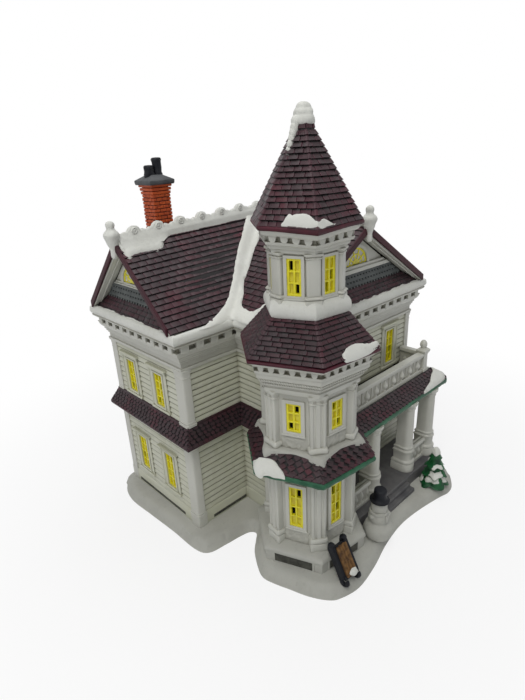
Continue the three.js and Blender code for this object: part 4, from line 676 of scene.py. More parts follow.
# from the square hole in the flat wall to the round one, painted darker as shade
square_ring = []
for a in circle(48):
    k = (LAMP_R + 0.05) / max(abs(math.cos(a)), abs(math.sin(a)))
    square_ring.append((k * math.cos(a), k * math.sin(a), -WALL))
loft(clay, [square_ring, rings[0]], to_lamp, tone=(0.5, 0.4, 0), caps=False)
put("lamp_hole_boss", clay, [cream])

# Upper storey
clay = storey(PENT1 - 1.5, FRIEZE + 0.5, PENT1, FRIEZE, 3.5, upper_windows)
pilasters(clay, PENT1 - 1.0, FRIEZE, 1.2)
for edge, along, sill, w, h in upper_windows:
    casing(clay, wall_at(edge, along, sill), w, h, SIDE_CASING, hood=2.6)
put("upper_walls_clapboard", clay, [cream, trim, vent], stands_for=["upper_walls"], bevel=0.3)

# Windows of the house
for name, (edge, along, sill, w, h), open_panes, node in (
        ("left_upper_near_lattice", upper_windows[0], {(0, 0), (1, 2)}, "left_window_upper_front"),
        ("left_upper_far_lattice", upper_windows[1], {(0, 0)}, "left_window_upper_back"),
        ("left_lower_near_lattice", lower_windows[0], {(1, 3)}, "left_window_lower_front"),
        ("left_lower_far_lattice", lower_windows[1], {(0, 1)}, "left_window_lower_back"),
        ("front_upper_lattice", upper_windows[2], {(1, 1)}, "front_window_upper")):
    window(name, wall_at(edge, along, sill), w, h, 4, open_panes, node)
for i, (edge, along, sill, w, h) in enumerate([x for x in upper_windows + lower_windows if x[0] == RIGHT]):
    blind_window(f"right_lattice_{i}", wall_at(edge, along, sill), w, h, 4, 0.1, 0.22)


# Roof tiles


TAIL, OVERLAP, SHADE_STRIP, JOINT, BURIED = 0.25, 0.25, 0.62, 0.26, 0.35


def tile_slab(clay, corner, su, sv, normal, u0, u1, v0, v1, thick, tone, kind, rise):
    """A pointed or rounded tile; its upper part is painted with shade up to the next row's tail."""
    def at(u, v, n):
        return corner + su * u + sv * v + normal * n
    w = u1 - u0
    mid = (u0 + u1) / 2
    if kind == "point":
        drop = min(w * 0.5, (v1 - v0) * 0.62)
        tip = [(u0, v0 + drop), (mid, v0), (u1, v0 + drop)]
        bar = [(u1, v0 + rise - 0.6), (mid, v0 + rise + drop - 0.95), (u0, v0 + rise - 0.6)]
    else:
        tip = [(u0, v0 + w * 0.34), (u0 + w * 0.2, v0 + w * 0.08), (mid, v0), (u1 - w * 0.2, v0 + w * 0.08),
               (u1, v0 + w * 0.34)]
        bar = [(u1, v0 + rise - 0.75), (mid, v0 + rise + w * 0.34 - 0.95), (u0, v0 + rise - 0.75)]
    bar = [(u, min(v, v1 - 0.1)) for u, v in bar]
    outline = tip + bar
    n, m = len(tip), len(outline)

    def height(v):
        return lerp(thick, TAIL, min(1.0, max(0.0, (v - v0) / (v1 - v0))))
    top = [at(u, v, height(v)) for u, v in outline] + [at(u1, v1, TAIL), at(u0, v1, TAIL)]
    low = [at(u, v, -BURIED) for u, v in tip + [(u1, v1), (u0, v1)]]
    faces = [tuple(range(m)), (m - 1, m - 2, m - 3, m, m + 1)]
    tones = [(tone, 1.0, 0.0), (tone, 0.0, 0.0)]
    base = m + 2
    for i in range(n - 1):
        faces.append((i, base + i, base + i + 1, i + 1))
        tones.append((tone, 0.35, 0.35))
    faces += [(n - 1, base + n - 1, base + n, m, n), (m - 1, m + 1, base + n + 1, base, 0)]
    tones += [(tone, 0.6, 1.0)] * 2
    clay.add(top + low, faces, tones)


def quad_tile(clay, corner, su, sv, normal, pts, thick, tone, rise):
    """A flat tile: pale joints at its sides and a strip of painted shade under the next row's tail."""
    (l0, v0), (r0, _), (r1, v1), (l1, _) = pts
    joint = min(JOINT, (r0 - l0) * 0.2)
    tilt = rng.uniform(-0.07, 0.07)
    shade_jitter = rng.uniform(-0.18, 0.18)
    grid = []
    for t in (0.0, (rise - SHADE_STRIP + shade_jitter) / v1, 1.0):
        a, b = lerp(l0, l1, t), lerp(r0, r1, t)
        j = min(joint, max(0.0, (b - a) * 0.3))
        for u, side in ((a, -1), (a + j, -1), (b - j, 1), (b, 1)):
            drop = 0.12 if u in (a, b) else 0.0
            h = lerp(thick, TAIL, t) + side * tilt * (1 - t) - drop
            grid.append(corner + su * u + sv * (v0 + (v1 - v0) * t) + normal * h)
    low = [corner + su * u + sv * v - normal * BURIED for u, v in pts]
    joints, face, dark_end = (tone, 0.9, 1.0), (tone, 1.0, 0.0), (tone, 0.0, 0.0)
    clay.add(grid + low,
             net(2, 3, flip=True) + [(0, 12, 13, 3, 2, 1), (3, 13, 14, 11, 7), (0, 4, 8, 15, 12),
                                     (11, 14, 15, 8, 9, 10)],
             [joints, face, joints] + [dark_end] * 3 + [(tone, 0.3, 0.3), (tone, 0.7, 1.0), (tone, 0.7, 1.0),
                                                        (tone, 0.3, 0.0)])


def tile_field(clay, a, b, c, d, rows, width, thick=0.8, kind="flat", gap=0.22, keep=None, under=True,
               wave=0.12):
    """Tiles on the quad a-b (lower edge) to d-c (upper edge); keep(point) may drop tiles."""
    a, b, c, d = map(Vector, (a, b, c, d))
    normal = (b - a).cross(d - a).normalized()
    # a sheet painted as shade under the tiles, seen in the gaps between them
    if under:
        clay.add([a, b, c, d], [(0, 1, 2, 3)], (0.5, 0.0, 0.0))
    for row in range(rows):
        low0, low1 = a.lerp(d, row / rows), b.lerp(c, row / rows)
        high0, high1 = a.lerp(d, (row + 1) / rows), b.lerp(c, (row + 1) / rows)
        su = (low1 - low0).normalized()
        sv = normal.cross(su).normalized()
        rise = (high0 - low0).dot(sv)
        right_low = (low1 - low0).dot(su)
        left_high, right_high = (high0 - low0).dot(su), (high1 - low0).dot(su)
        # every other row starts with a half tile, and widths vary a little
        marks = [0.0]
        x = width * 0.5 if row % 2 else width
        while x < right_low - width * 0.35:
            marks.append(x + rng.uniform(-0.12, 0.12) * width)
            x += width * rng.uniform(0.94, 1.06)
        marks.append(right_low)
        for u0, u1 in zip(marks, marks[1:]):
            centre = low0 + su * ((u0 + u1) / 2) + sv * rise * 0.5
            if keep and not keep(centre):
                continue
            tone = min(1.0, max(0.0, rng.gauss(0.5, 0.24)))
            lift = rng.uniform(-wave, wave)
            top = rise + OVERLAP
            e0 = u0 + gap / 2
            e1 = u1 - gap / 2
            if kind == "flat":
                # tiles at the ends follow the hips
                t0 = left_high if u0 == marks[0] else e0
                t1 = right_high if u1 == marks[-1] else e1
                if t1 - t0 < 0.15:
                    t0 = t1 = (t0 + t1) / 2
                pts = [(e0, 0), (e1, 0), (max(t1, t0), top), (min(t0, t1), top)]
                quad_tile(clay, low0, su, sv, normal, pts, thick + lift, tone, rise)
            else:
                tile_slab(clay, low0, su, sv, normal, max(e0, 0.0), min(e1, right_low), -rise * 0.25, top,
                          thick + lift, tone, kind, rise)


def ridge_main(x):
    """The main ridge climbs a little from the left gable to the front roof."""
    return RIDGE + RISE * min(1.0, max(0.0, x / 85))


def ridge_front(y):
    return RIDGE + RISE * min(1.0, max(0.0, (y + 48) / 87))


def main_z(x, y):
    top = ridge_main(x)
    return top - abs(y - RIDGE_Y) * (top - EAVE) / MAIN_HALF


def front_z(x, y):
    top = ridge_front(y)
    return top - abs(x - FRONT_X) * (top - EAVE) / FRONT_HALF


def roof_z(x, y):
    m = main_z(x, y)
    if -FRONT_D - OVER - 1 < y < RIDGE_Y:
        return max(m, front_z(x, y))
    return m


RAKE_THICK, RAKE_TOP, SOFFIT = 1.5, 1.6, 1.5


def rake(clay, edge_points, across, depth):
    """Barge board at the end of a roof: edge_points run along the roof's end, outer face."""
    w, up = Vector(across) * RAKE_THICK, Vector((0, 0, 1))
    for p, q in zip(edge_points, edge_points[1:]):
        pts = []
        for e in (Vector(p), Vector(q)):
            pts += [e + up * RAKE_TOP, e + up * RAKE_TOP + w, e - up * depth + w, e - up * depth]
        clay.add(pts, SIDES + ENDS)


def soffit(clay, quad, foot, ridge, across):
    """Board under a roof's end, with a moulding along it from foot to ridge."""
    clay.add(quad + [(x, y, z + SOFFIT) for x, y, z in quad],
             [(0, 1, 2, 3), (0, 3, 7, 4), (0, 4, 5, 1), (1, 5, 6, 2), (4, 7, 6, 5)])
    clay.add([(x + across[0] * side, y + across[1] * side, z + up) for x, y, z in (foot, ridge)
              for side, up in ((-0.6, 0.2), (0.6, 0.2), (0.6, -0.8), (-0.6, -0.8))], SIDES)


# Main roof
clay = Clay()
x0, x1 = -OVER + 1.6, MAIN_L + OVER - 1.6
TILE = 5.4


def main_keep(p):
    return not (p.y < RIDGE_Y and front_z(p.x, p.y) > main_z(p.x, p.y) + 2.5 and p.x > SETBACK - 6)


y_foot = RIDGE_Y - MAIN_HALF
y_back = RIDGE_Y + MAIN_HALF
KNEE = 85.0
for xa, xb in ((x0, KNEE), (KNEE, x1)):
    za, zb = ridge_main(xa), ridge_main(xb)
    tile_field(clay, (xa, y_foot, EAVE), (xb, y_foot, EAVE), (xb, RIDGE_Y, zb), (xa, RIDGE_Y, za), 17, TILE,
               0.95, keep=main_keep)
    tile_field(clay, (xb, y_back, EAVE), (xa, y_back, EAVE), (xa, RIDGE_Y, za), (xb, RIDGE_Y, zb), 17, TILE,
               0.95)
put("main_roof_tiles", clay, [tile], stands_for=["main_roof"], bevel=0.2)

clay = Clay()
for x, side in ((-OVER, 1), (MAIN_L + OVER, -1)):
    top = ridge_main(x)
    line = [(x, y_foot + 1.4, EAVE + 1.8), (x, RIDGE_Y, top), (x, y_back - 1.4, EAVE + 1.8)]
    rake(clay, line, (side, 0, 0), 2.9)
put("main_rake_boards", clay, [rake_paint], bevel=0.5, segments=3)

clay = Clay()
UNDER = 4.2
for x, end in ((-OVER + 1.5, 0.5), (MAIN_L + OVER - 1.5, MAIN_L - 0.5)):
    for y in (y_foot, y_back):
        low, top = EAVE - UNDER + 1.9, ridge_main(x) - UNDER
        mid = lerp(x, end, 0.5)
        soffit(clay, [(x, y, low), (end, y, low), (end, RIDGE_Y, top), (x, RIDGE_Y, top)],
               (mid, y, low), (mid, RIDGE_Y, top), (1, 0))
put("main_soffits", clay, [trim], bevel=0.3)

# Front roof
clay = Clay()
ya, yb = -FRONT_D - OVER + 1.6, RIDGE_Y - 1


def front_keep(p):
    inside = math.hypot(p.x - TX, p.y - TY) < 17 and p.z < 160
    return main_z(p.x, p.y) < front_z(p.x, p.y) + 1.5 and not inside


xl, xr = FRONT_X - FRONT_HALF, FRONT_X + FRONT_HALF
zf, zb = ridge_front(ya), ridge_front(yb)
tile_field(clay, (xl, yb, EAVE), (xl, ya, EAVE), (FRONT_X, ya, zf), (FRONT_X, yb, zb), 20, TILE, 0.9,
           keep=front_keep, under=False)
tile_field(clay, (xr, ya, EAVE), (xr, yb, EAVE), (FRONT_X, yb, zb), (FRONT_X, ya, zf), 20, TILE, 0.9,
           keep=front_keep, under=False)
# sheet painted as shade under the tiles, as far as the main roof
for foot in (xl, xr):
    steps = 24
    pts = []
    for i in range(steps + 1):
        x = lerp(foot, FRONT_X, i / steps)
        top = ridge_main(x)
        meet = min(yb, RIDGE_Y - (top - front_z(x, RIDGE_Y)) * MAIN_HALF / (top - EAVE) + 1.0)
        pts += [(x, ya, front_z(x, ya) - 0.05), (x, meet, front_z(x, meet) - 0.05)]
    clay.add(pts, net(steps, 1, flip=True), (0.5, 0.0, 0.0))
put("front_roof_tiles", clay, [tile], stands_for=["front_roof"], bevel=0.2)

clay = Clay()
yo = -FRONT_D - OVER
rake(clay, [(xl + 2.0, yo, EAVE + 1.8), (FRONT_X, yo, RIDGE), (xr - 2.0, yo, EAVE + 1.8)], (0, 1, 0), 2.7)
put("front_rake_boards", clay, [rake_paint], bevel=0.5, segments=3)

clay = Clay()
for x in (xl, xr):
    low, top = EAVE - 4.0 + 1.6, RIDGE - 4.0
    near, far, mid = yo + 1.5, -FRONT_D + 0.5, -FRONT_D - OVER / 2
    soffit(clay, [(x, near, low), (x, far, low), (FRONT_X, far, top), (FRONT_X, near, top)],
           (x, mid, low), (FRONT_X, mid, top), (0, 1))
put("front_soffits", clay, [trim], bevel=0.3)


# Gables


LUNETTE_R, LUNETTE_SECTORS = 10.0, 5
SLATE_FOOT, SLATE_TOP = 144.0, 153.6
SLATE_PITCH, SLATE_WIDTH = 2.9, 1.85
APEX = RIDGE - 4.5


def arch(clay, matrix, centre_z, section):
    """Carries (radius, depth) points over half a circle."""
    steps = 20
    pts = []
    for i in range(steps + 1):
        a = math.pi * i / steps
        pts += [(r * math.cos(a), y, centre_z + r * math.sin(a)) for r, y in section]
    clay.add(pts, net(steps, len(section) - 1, flip=True), matrix=matrix)


def gable_wall(clay, here, slope, sill, board):
    """Triangle with its back, the white sill under the lunette and the arch round it."""
    reach = (APEX - CORNICE) / slope
    clay.add([p for y in (0.0, WALL) for p in ((-reach, y, CORNICE), (reach, y, CORNICE), (0, y, APEX))],
             [(0, 1, 2), (5, 4, 3), (0, 3, 4, 1), (1, 4, 5, 2), (2, 5, 3, 0)], matrix=here)
    for low, high, out in ((SLATE_TOP, SLATE_TOP + board, 1.0 + board * 0.5),
                           (SLATE_TOP + board, sill + 0.3, 0.5 + board * 0.4)):
        w0, w1 = (APEX - low) / slope - 0.6, (APEX - high) / slope - 0.6
        pts = [(-w0, -out, low), (w0, -out, low), (w1, -out, high), (-w1, -out, high)]
        clay.add(pts + [(x, 0.5, z) for x, _, z in pts], ENDS + SIDES, matrix=here)
    arch(clay, here, sill, [(10.0, 0.3), (10.0, -1.1), (12.3, -1.1), (12.7, 0.3)])


def slates(clay, here, slope):
    """Three rows of small pointed shingles over a ground painted as shade."""
    out = 1.15
    for r, low in enumerate((144.2, 147.4, 150.6)):
        high, notch = low + 3.5, low + 1.25
        w_low, w_high = (APEX - notch) / slope + 0.5, (APEX - high) / slope + 0.5
        pts = [(-w_low, -out, notch), (w_low, -out, notch), (w_high, -out + 0.35, high),
               (-w_high, -out + 0.35, high)]
        # the underside of each row and the sides of each shingle are painted with shade
        clay.add(pts + [(x, 0.2, z) for x, _, z in pts], [(0, 1, 2, 3), (1, 0, 4, 5)], [PLAIN, (0.5, 0.1, 0)],
                 matrix=here)
        for i in range(int(2 * w_low / SLATE_PITCH) + 1):
            u = -w_low + (i + 0.5 * (r % 2)) * SLATE_PITCH
            w = SLATE_WIDTH
            if abs(u + w / 2) > w_low - w / 2:
                continue
            pts = [(u, -out, notch), (u + 0.25, -out - 0.12, low + 0.35), (u + w / 2, -out - 0.16, low),
                   (u + w - 0.25, -out - 0.12, low + 0.35), (u + w, -out, notch)]
            clay.add(pts + [(x, 0.2, z) for x, _, z in pts],
                     [(0, 1, 2, 3, 4)] + [(k, 5 + k, 6 + k, k + 1) for k in range(4)],
                     [PLAIN] + [(0.5, 0.2, 0)] * 4, matrix=here)
    w0, w1 = (APEX - SLATE_FOOT) / slope, (APEX - SLATE_TOP) / slope
    clay.add([(-w0, -0.45, SLATE_FOOT), (w0, -0.45, SLATE_FOOT), (w1, -0.45, SLATE_TOP),
              (-w1, -0.45, SLATE_TOP)],
             [(0, 1, 2, 3)], (0.5, 0.0, 0), matrix=here)


def lunette(clay, here, sill, open_sectors):
    """Half-round lattice with spokes and rings; the open sectors are sunk deep and painted dark as shade, in
    place of holes.
    """
    for i in range(LUNETTE_SECTORS):
        deep = i in open_sectors
        y = 2.6 if deep else 0.55
        pts = [(0, y, sill)]
        for s in range(6):
            a = lerp(math.pi * i / LUNETTE_SECTORS, math.pi * (i + 1) / LUNETTE_SECTORS, s / 5)
            pts.append((LUNETTE_R * math.cos(a), y, sill + LUNETTE_R * math.sin(a)))
        clay.add(pts, [tuple(range(len(pts)))], PLAIN, 2 if deep else 1, here)
    for i in range(1, LUNETTE_SECTORS):
        turn = here @ Matrix.Translation((0, 0,
                                          sill)) @ Matrix.Rotation(-math.pi * i / LUNETTE_SECTORS, 4, "Y")
        block(clay, turn, 1.5, LUNETTE_R - 0.4, -0.35, 1.4, -0.5, 0.5)
    for r0, r1 in ((0.0, 3.4), (LUNETTE_R - 1.3, LUNETTE_R + 0.2), (5.6, 6.5)):
        arch(clay, here, sill + 0.2, [(r0, 1.4), (r0, -0.3), (r1, -0.3), (r1, 1.4)])
    block(clay, here, -LUNETTE_R, LUNETTE_R, -0.3, 1.4, sill - 0.2, sill + 0.9)


def gable(side, edge, middle, half, slope, sill, board=0.8, open_sectors=(), stands_for=()):
    here = wall_at(edge, middle, 0)
    name = side + "_gable"
    clay = Clay()
    gable_wall(clay, here, slope, sill, board)
    put(name + "_wall", clay, [trim], stands_for=[name], bevel=0.3)
    clay = Clay()
    slates(clay, here, slope)
    put(name + "_slates", clay, [slate], bevel=0.15)
    # tiled skirt at the gable's foot
    clay = Clay()
    z_foot, z_top, out = CORNICE + 2.3, 144.6, 5.6
    w = half + 0.2
    w_top = (RIDGE - 5.5 - z_top) / slope + 1.0
    corners = [here @ Vector(p) for p in
               ((-w, -out, z_foot), (w, -out, z_foot), (w_top, -0.2, z_top), (-w_top, -0.2, z_top))]
    tile_field(clay, *corners, 4, 5.2, 0.7, wave=0.2)
    put(name + "_skirt", clay, [tile], bevel=0.18)
    clay = Clay()
    lunette(clay, here, sill, open_sectors)
    put(side + "_lunette_lattice", clay, [yellow, pane, dark], stands_for=stands_for,
        bevel=0.2)


gable("left", LEFT, MAIN_D / 2, MAIN_HALF, MAIN_SLOPE, 155.4, open_sectors={1},
      stands_for=["left_gable_lunette"])
gable("front", FRONT, FRONT_X - SETBACK, FRONT_HALF, FRONT_SLOPE, 157.6, 2.4,
      stands_for=["front_gable_lunette"])
gable("right", RIGHT, FRONT_D + RIDGE_Y, MAIN_HALF, MAIN_SLOPE, 155.4)


def shades(cells, at):
    """Tones of a moulding's cells: painted shade, down to the share given, in the named ones."""
    return [(0.5, at.get(k, 1.0), 0) for k in range(cells)]


# Cornice of the house
clay = Clay()
F, LEDGE_TOP = FRIEZE, 136.0
profile = [(0.2, F - 0.5), (1.3, F - 0.5), (1.7, F + 0.3), (1.7, F + 1.5), (0.9, F + 1.9), (0.9, F + 4.4),
           (1.5, F + 4.7), (1.5, F + 5.5), (2.2, F + 6.0), (2.2, F + 6.9), (2.9, F + 7.4), (2.9, F + 8.4),
           (3.7, F + 9.0), (4.4, F + 9.9), (4.9, F + 11.0), (5.4, F + 12.6), (3.6, F + 13.0), (3.6, 129.2),
           (5.9, 129.4), (7.0, 129.9), (7.5, 130.7), (7.1, 131.4), (7.7, 132.0), (LEDGE, 133.2), (8.0, 134.6),
           (7.4, 135.5), (6.4, 135.9), (2.5, LEDGE_TOP)]
cells = len(profile) - 1
# undersides of the mouldings and the back of the slots are painted with shade
ring(clay, PLAN, profile, shades(cells, {3: 0.6, 4: 0.85, 5: 0.6, 7: 0.6, 9: 0.6, 11: 0.65, 15: 0.5, 16: 0.35,
                                         17: 0.5, 20: 0.5}),
     [1 if k >= 22 else 0 for k in range(cells)], steps=40, ripple=0.25)
SLOT_PITCH, SLOT = 9.0, 5.0
GABLED = (LEFT, FRONT, RIGHT)
for edge in range(6):
    length = wall_length(edge)
    count = max(1, round(length / SLOT_PITCH))
    w = (length / count - SLOT) / 2
    for i in range(count + 1):
        m = wall_at(edge, length * i / count, 0)
        block(clay, m, -w, w, -5.9, -3.2, 125.7, 129.6)


def skin(edge, d):
    """Height of the ledge and the lowest tiles at an outset, with the tiles' thickness."""
    foot, low, slope, thick = (5.6, 135.6, 1.67, 0.8) if edge in GABLED else (FOOT, EAVE, MAIN_SLOPE, 1.0)
    return LEDGE_TOP if d > foot else max(LEDGE_TOP, low + (foot - d) * slope + thick)


# Snow on the ledge, up to the lowest tiles
mitre = mitres(PLAN)
STATIONS = 70
for edge in range(6):
    reach = 5.5 if edge in GABLED else 5.3
    pts = []
    for t in range(STATIONS + 1):
        share = t / STATIONS
        along = share * wall_length(edge) + edge * 40
        inner = reach + 0.4 * wobble(along, edge, 0, 0.13) + 0.3 * wobble(along, edge, 5, 0.5)
        line = [(8.05, 134.3), (7.9, 135.6), (7.2, 136.5), (6.3, 137.0)]
        for k, up in ((0.55, 1.0), (0.25, 0.9), (0.06, 0.6), (0.0, -1.6)):
            d = inner + (6.3 - inner) * k
            line.append((d, skin(edge, d) + up))
        for d, z in line:
            x, y = beside(PLAN, mitre, edge, d, share)
            pts.append((x, y, z + 0.15 * wobble(x, y, z, 0.4)))
    clay.add(pts, net(STATIONS, len(line) - 1), slot=1)
put("cornice_mouldings", clay, [trim, snow], stands_for=["cornice"], bevel=0.35)

# Pent roof
clay = Clay()
# the underside of the pent's edge is painted with shade
ring(clay, PLAN, [(0.3, 66.4), (4.6, 66.0), (5.9, 66.9), (6.2, 68.2), (5.6, 69.6)],
     slots=[1, 1, 0, 0], tones=[(0.5, 0.7, 0), (0.5, 1, 0), (0.2, 0.8, 0.3), (0.2, 0.9, 0.3)], steps=1,
     skip=(FRONT,))
for edge in range(6):
    if edge != FRONT:
        low0, low1 = [(*beside(PLAN, mitre, edge, 5.9, t), 68.6) for t in (0, 1)]
        high0, high1 = [(*beside(PLAN, mitre, edge, 0.6, t), PENT1 - 0.5) for t in (0, 1)]
        tile_field(clay, low0, low1, high1, high0, 5, 3.5, 1.0, kind="scale", wave=0.1, gap=0.55)
ring(clay, PLAN, [(1.6, 77.6), (1.4, 79.2), (0.2, 79.9)], slots=[0, 0], tones=[(0.5, 0.6, 0.2)] * 2,
     skip=(FRONT,), steps=30, ripple=0.4)
put("pent_roof_tiles", clay, [tile, trim], stands_for=["pent_roof"], bevel=0.15)

# Tower

# Faces with a window; the photograph shows the first three
PIERCED = ("wing", "left", "front", "porch")


def fluted(half, reach, root):
    """Outline of a fluted pillar shaft, in the tower's local frame."""
    outline = [(-half, -root), (-half, -reach + 0.5), (-half + 0.5, -reach)]
    for centre in (-half * 0.45, half * 0.45):
        outline += [(centre - 0.75, -reach), (centre - 0.4, -reach + 0.55), (centre + 0.4, -reach + 0.55),
                    (centre + 0.75, -reach)]
    outline += [(half - 0.5, -reach), (half, -reach + 0.5), (half, -root)]
    return outline


def tower_wall(clay, apothem, z0, z1, spec):
    """Six flat faces, four of them pierced for a window."""
    half = apothem * math.tan(math.radians(30))
    width, height, sill, _ = spec
    for face, angle in [*FACES.items(), ("hidden", 210)]:
        m = tower_at(angle, 0, apothem)
        pierced = face in PIERCED
        xs = (-half, -width / 2, width / 2, half) if pierced else (-half, half)
        zs = (z0, sill, sill + height, z1) if pierced else (z0, z1)
        for i, (a, b) in enumerate(zip(xs, xs[1:])):
            for k, (c, d) in enumerate(zip(zs, zs[1:])):
                if not (pierced and i == 1 and k == 1):
                    clay.add(upright(a, b, c, d, 0), [(0, 1, 2, 3)], (0.5, 0.9, 0), matrix=m)
        if pierced:
            jamb(clay, tower_at(angle, sill, apothem), width, height, 0.0, WALL)


def tower_pillar(clay, angle, reach, half, z0, z1, block_h, ring_h, capital, root, plain=False):
    """Corner pillar: foot block, round ring, fluted or plain shaft and capital."""
    m = tower_at(angle, 0)

    def rect(grow, z):
        h, r, c = half + grow, reach + grow, 0.7
        return [(-h, -root, z), (-h, -r + c, z), (-h + c, -r, z), (h - c, -r, z), (h, -r + c, z),
                (h, -root, z)]
    loft(clay, [rect(0.9, z0 - 1), rect(0.8, z0 + block_h * 0.9), rect(0.3, z0 + block_h)], m)
    zr = z0 + block_h
    rings = []
    for k in range(7):
        a = math.pi * k / 6
        rings.append(rect(0.1 + 0.95 * math.sin(a), zr + ring_h * 0.5 * (1 - math.cos(a))))
    loft(clay, rings, m)
    outline = [(x, y) for x, y, _ in rect(0, 0)] if plain else fluted(half, reach, root)
    loft(clay, [[(x, y, zr + ring_h - 0.3) for x, y in outline],
                [(x, y, z1 - capital + 0.2) for x, y in outline]], m)
    zc = z1 - capital
    loft(clay, [rect(0.05, zc), rect(0.45, zc + 0.35), rect(0.45, zc + 0.8), rect(0.0, zc + 1.1),
                rect(0.05, zc + capital * 0.45), rect(0.75, zc + capital * 0.62),
                rect(0.95, zc + capital * 0.7), rect(0.95, z1)], m)
    for x in (-half * 0.45, half * 0.45):
        block(clay, m, x - 0.75, x + 0.75, -reach - 0.35, -reach + 0.3, zc + capital * 0.24,
              zc + capital * 0.5, tone=(0.5, 0.55, 0))


def stucco(clay, matrix, x0, x1, z0, z1, y, cell=0.8, rough=0.4):
    """A rough panel: a small grid with random relief."""
    nx, nz = max(2, int((x1 - x0) / cell)), max(2, int((z1 - z0) / cell))
    pts = []
    for i in range(nx + 1):
        for j in range(nz + 1):
            rim = i in (0, nx) or j in (0, nz)
            pts.append((lerp(x0, x1, i / nx), y + (0.4 if rim else rng.uniform(-rough, rough)),
                        lerp(z0, z1, j / nz)))
    clay.add(pts, net(nx, nz), (0.5, 0.75, 0), matrix=matrix)


def hex_ring(clay, profile, tones=None, slots=None, steps=6, ripple=0.0):
    """Carries (apothem, height) points round the tower."""
    ring(clay, hexagon(1), [(apothem - 1, z) for apothem, z in profile], tones, slots, steps, ripple)


def tower_casing(clay, face, apothem, spec, side):
    """Frame with a raised rim and a sill round a tower window."""
    width, height, sill, _ = spec
    m = tower_at(FACES[face], sill, apothem)
    w, rim = width / 2, 0.55
    out, top = w + side, height + side * 0.9
    border(clay, m, (-w, w, 0, height), (-out, out, -side, top), -0.95, 1.4)
    border(clay, m, (-w - 0.5, w + 0.5, -0.5, height + 0.5), (-out + rim, out - rim, -side + rim, top - rim),
           -0.7, 1.2, tone=(0.5, 0.9, 0))
    block(clay, m, -out - 0.25, out + 0.25, -1.3, 1.0, -side - 0.35, -side + 0.7)


def tower_storey(clay, apothem, wall, spec, pillar, side=2.1, panel=None, plain=False):
    """Walls, corner pillars and window casings of one storey; panel gives a rough panel's box."""
    tower_wall(clay, apothem, *wall, spec)
    for angle in CORNERS.values():
        tower_pillar(clay, angle, *pillar, plain=plain)
    for face in PIERCED:
        tower_casing(clay, face, apothem, spec, side)
        if panel:
            half, low, high = panel
            stucco(clay, tower_at(FACES[face], 0), -half, half, low, high, -apothem - 0.45)


# Tower windows: width, height, sill, rows of panes
LOWER = (7.8, 26.0, 29.7, 4)
MIDDLE = (7.7, 16.0, 90.0, 3)
UPPER = (7.0, 17.4, 159.2, 3)
A_LOW, A_UP = 21.5, 16.0

# Plinth
clay = Clay()
hex_ring(clay, [(28.2, 5.5), (28.6, 7.6), (28.6, 13.9), (29.2, 14.2), (29.3, 15.6), (28.9, 16.4),
                (27.6, 17.2), (25.5, 17.8), (21.0, 18.4)], steps=10, ripple=0.35)
for name in PIERCED:
    border(clay, tower_at(FACES[name], 0), (-10.9, 10.9, 8.4, 13.6), (-12.2, 12.2, 7.4, 14.6), -29.0, -27.5)
put("tower_plinth_snow", clay, [ground], stands_for=["tower_plinth"], bevel=0.3)
clay = Clay()
for name in PIERCED[1:]:
    stucco(clay, tower_at(FACES[name], 0), -10.9, 10.9, 8.3, 13.6, -29.3, 1.3, 0.6)
put("tower_plinth_stones", clay, [vent])

# Lower tower storey
clay = Clay()
tower_storey(clay, A_LOW, (17, 67.5), LOWER, (26.3, 4.0, 17.9, 66.5, 4.8, 3.4, 6.5, 19),
             panel=(7.4, 18.6, 27.2))
hex_ring(clay, [(A_LOW, 59.6), (22.6, 59.9), (22.9, 61.2), (23.6, 61.6), (23.6, 64.6), (24.4, 65.2),
                (24.4, 67)], steps=1)
put("tower_lower_storey_cast", clay, [trim], stands_for=["tower_lower_storey"], bevel=0.25)

# Roofs of the tower: each runs from (apothem, height) at the eave to the same at the top


def hex_tiles(clay, eave, peak, rows, width, thick, kind="flat", **more):
    (a0, z0), (a1, z1) = eave, peak
    low, high = hexagon(a0), hexagon(a1)
    for i in range(6):
        j = (i + 1) % 6
        tile_field(clay, (*low[i], z0), (*low[j], z0), (*high[j], z1), (*high[i], z1), rows, width, thick,
                   kind, **more)


def hips(clay, eave, peak, rows, size, lift):
    """Small rounded blocks that cover the hips."""
    (a0, z0), (a1, z1) = eave, peak
    for i in range(6):
        a = math.radians(TURN + 60 * i)
        side = Vector((-math.sin(a), math.cos(a), 0))
        out = Vector((math.cos(a), math.sin(a), 0))
        n = (out * (z1 - z0) + Vector((0, 0, 1)) * (a0 - a1)).normalized()
        for r in range(rows):
            pts = []
            for t, s, h in (((r + 0.02) / rows, size, lift + 0.35),
                            ((r + 0.94) / rows, size * 0.8, lift - 0.05)):
                c = Vector((*about_tower(lerp(a0, a1, t) / HEX, a), lerp(z0, z1, t)))
                pts += [c - side * s - n * 0.6 - out * s * 0.3, c - side * s * 0.62 + n * h * 0.8,
                        c + n * (h + 0.15), c + side * s * 0.62 + n * h * 0.8,
                        c + side * s - n * 0.6 - out * s * 0.3]
            # the lower end of each block is painted with shade
            tone = rng.uniform(0.2, 0.8)
            clay.add(pts, net(1, 4, flip=True) + [(0, 4, 3, 2, 1), (5, 6, 7, 8, 9)],
                     [(tone, 1, 0.2)] * 4 + [(tone, 0.2, 0.2), (tone, 0.5, 0)])


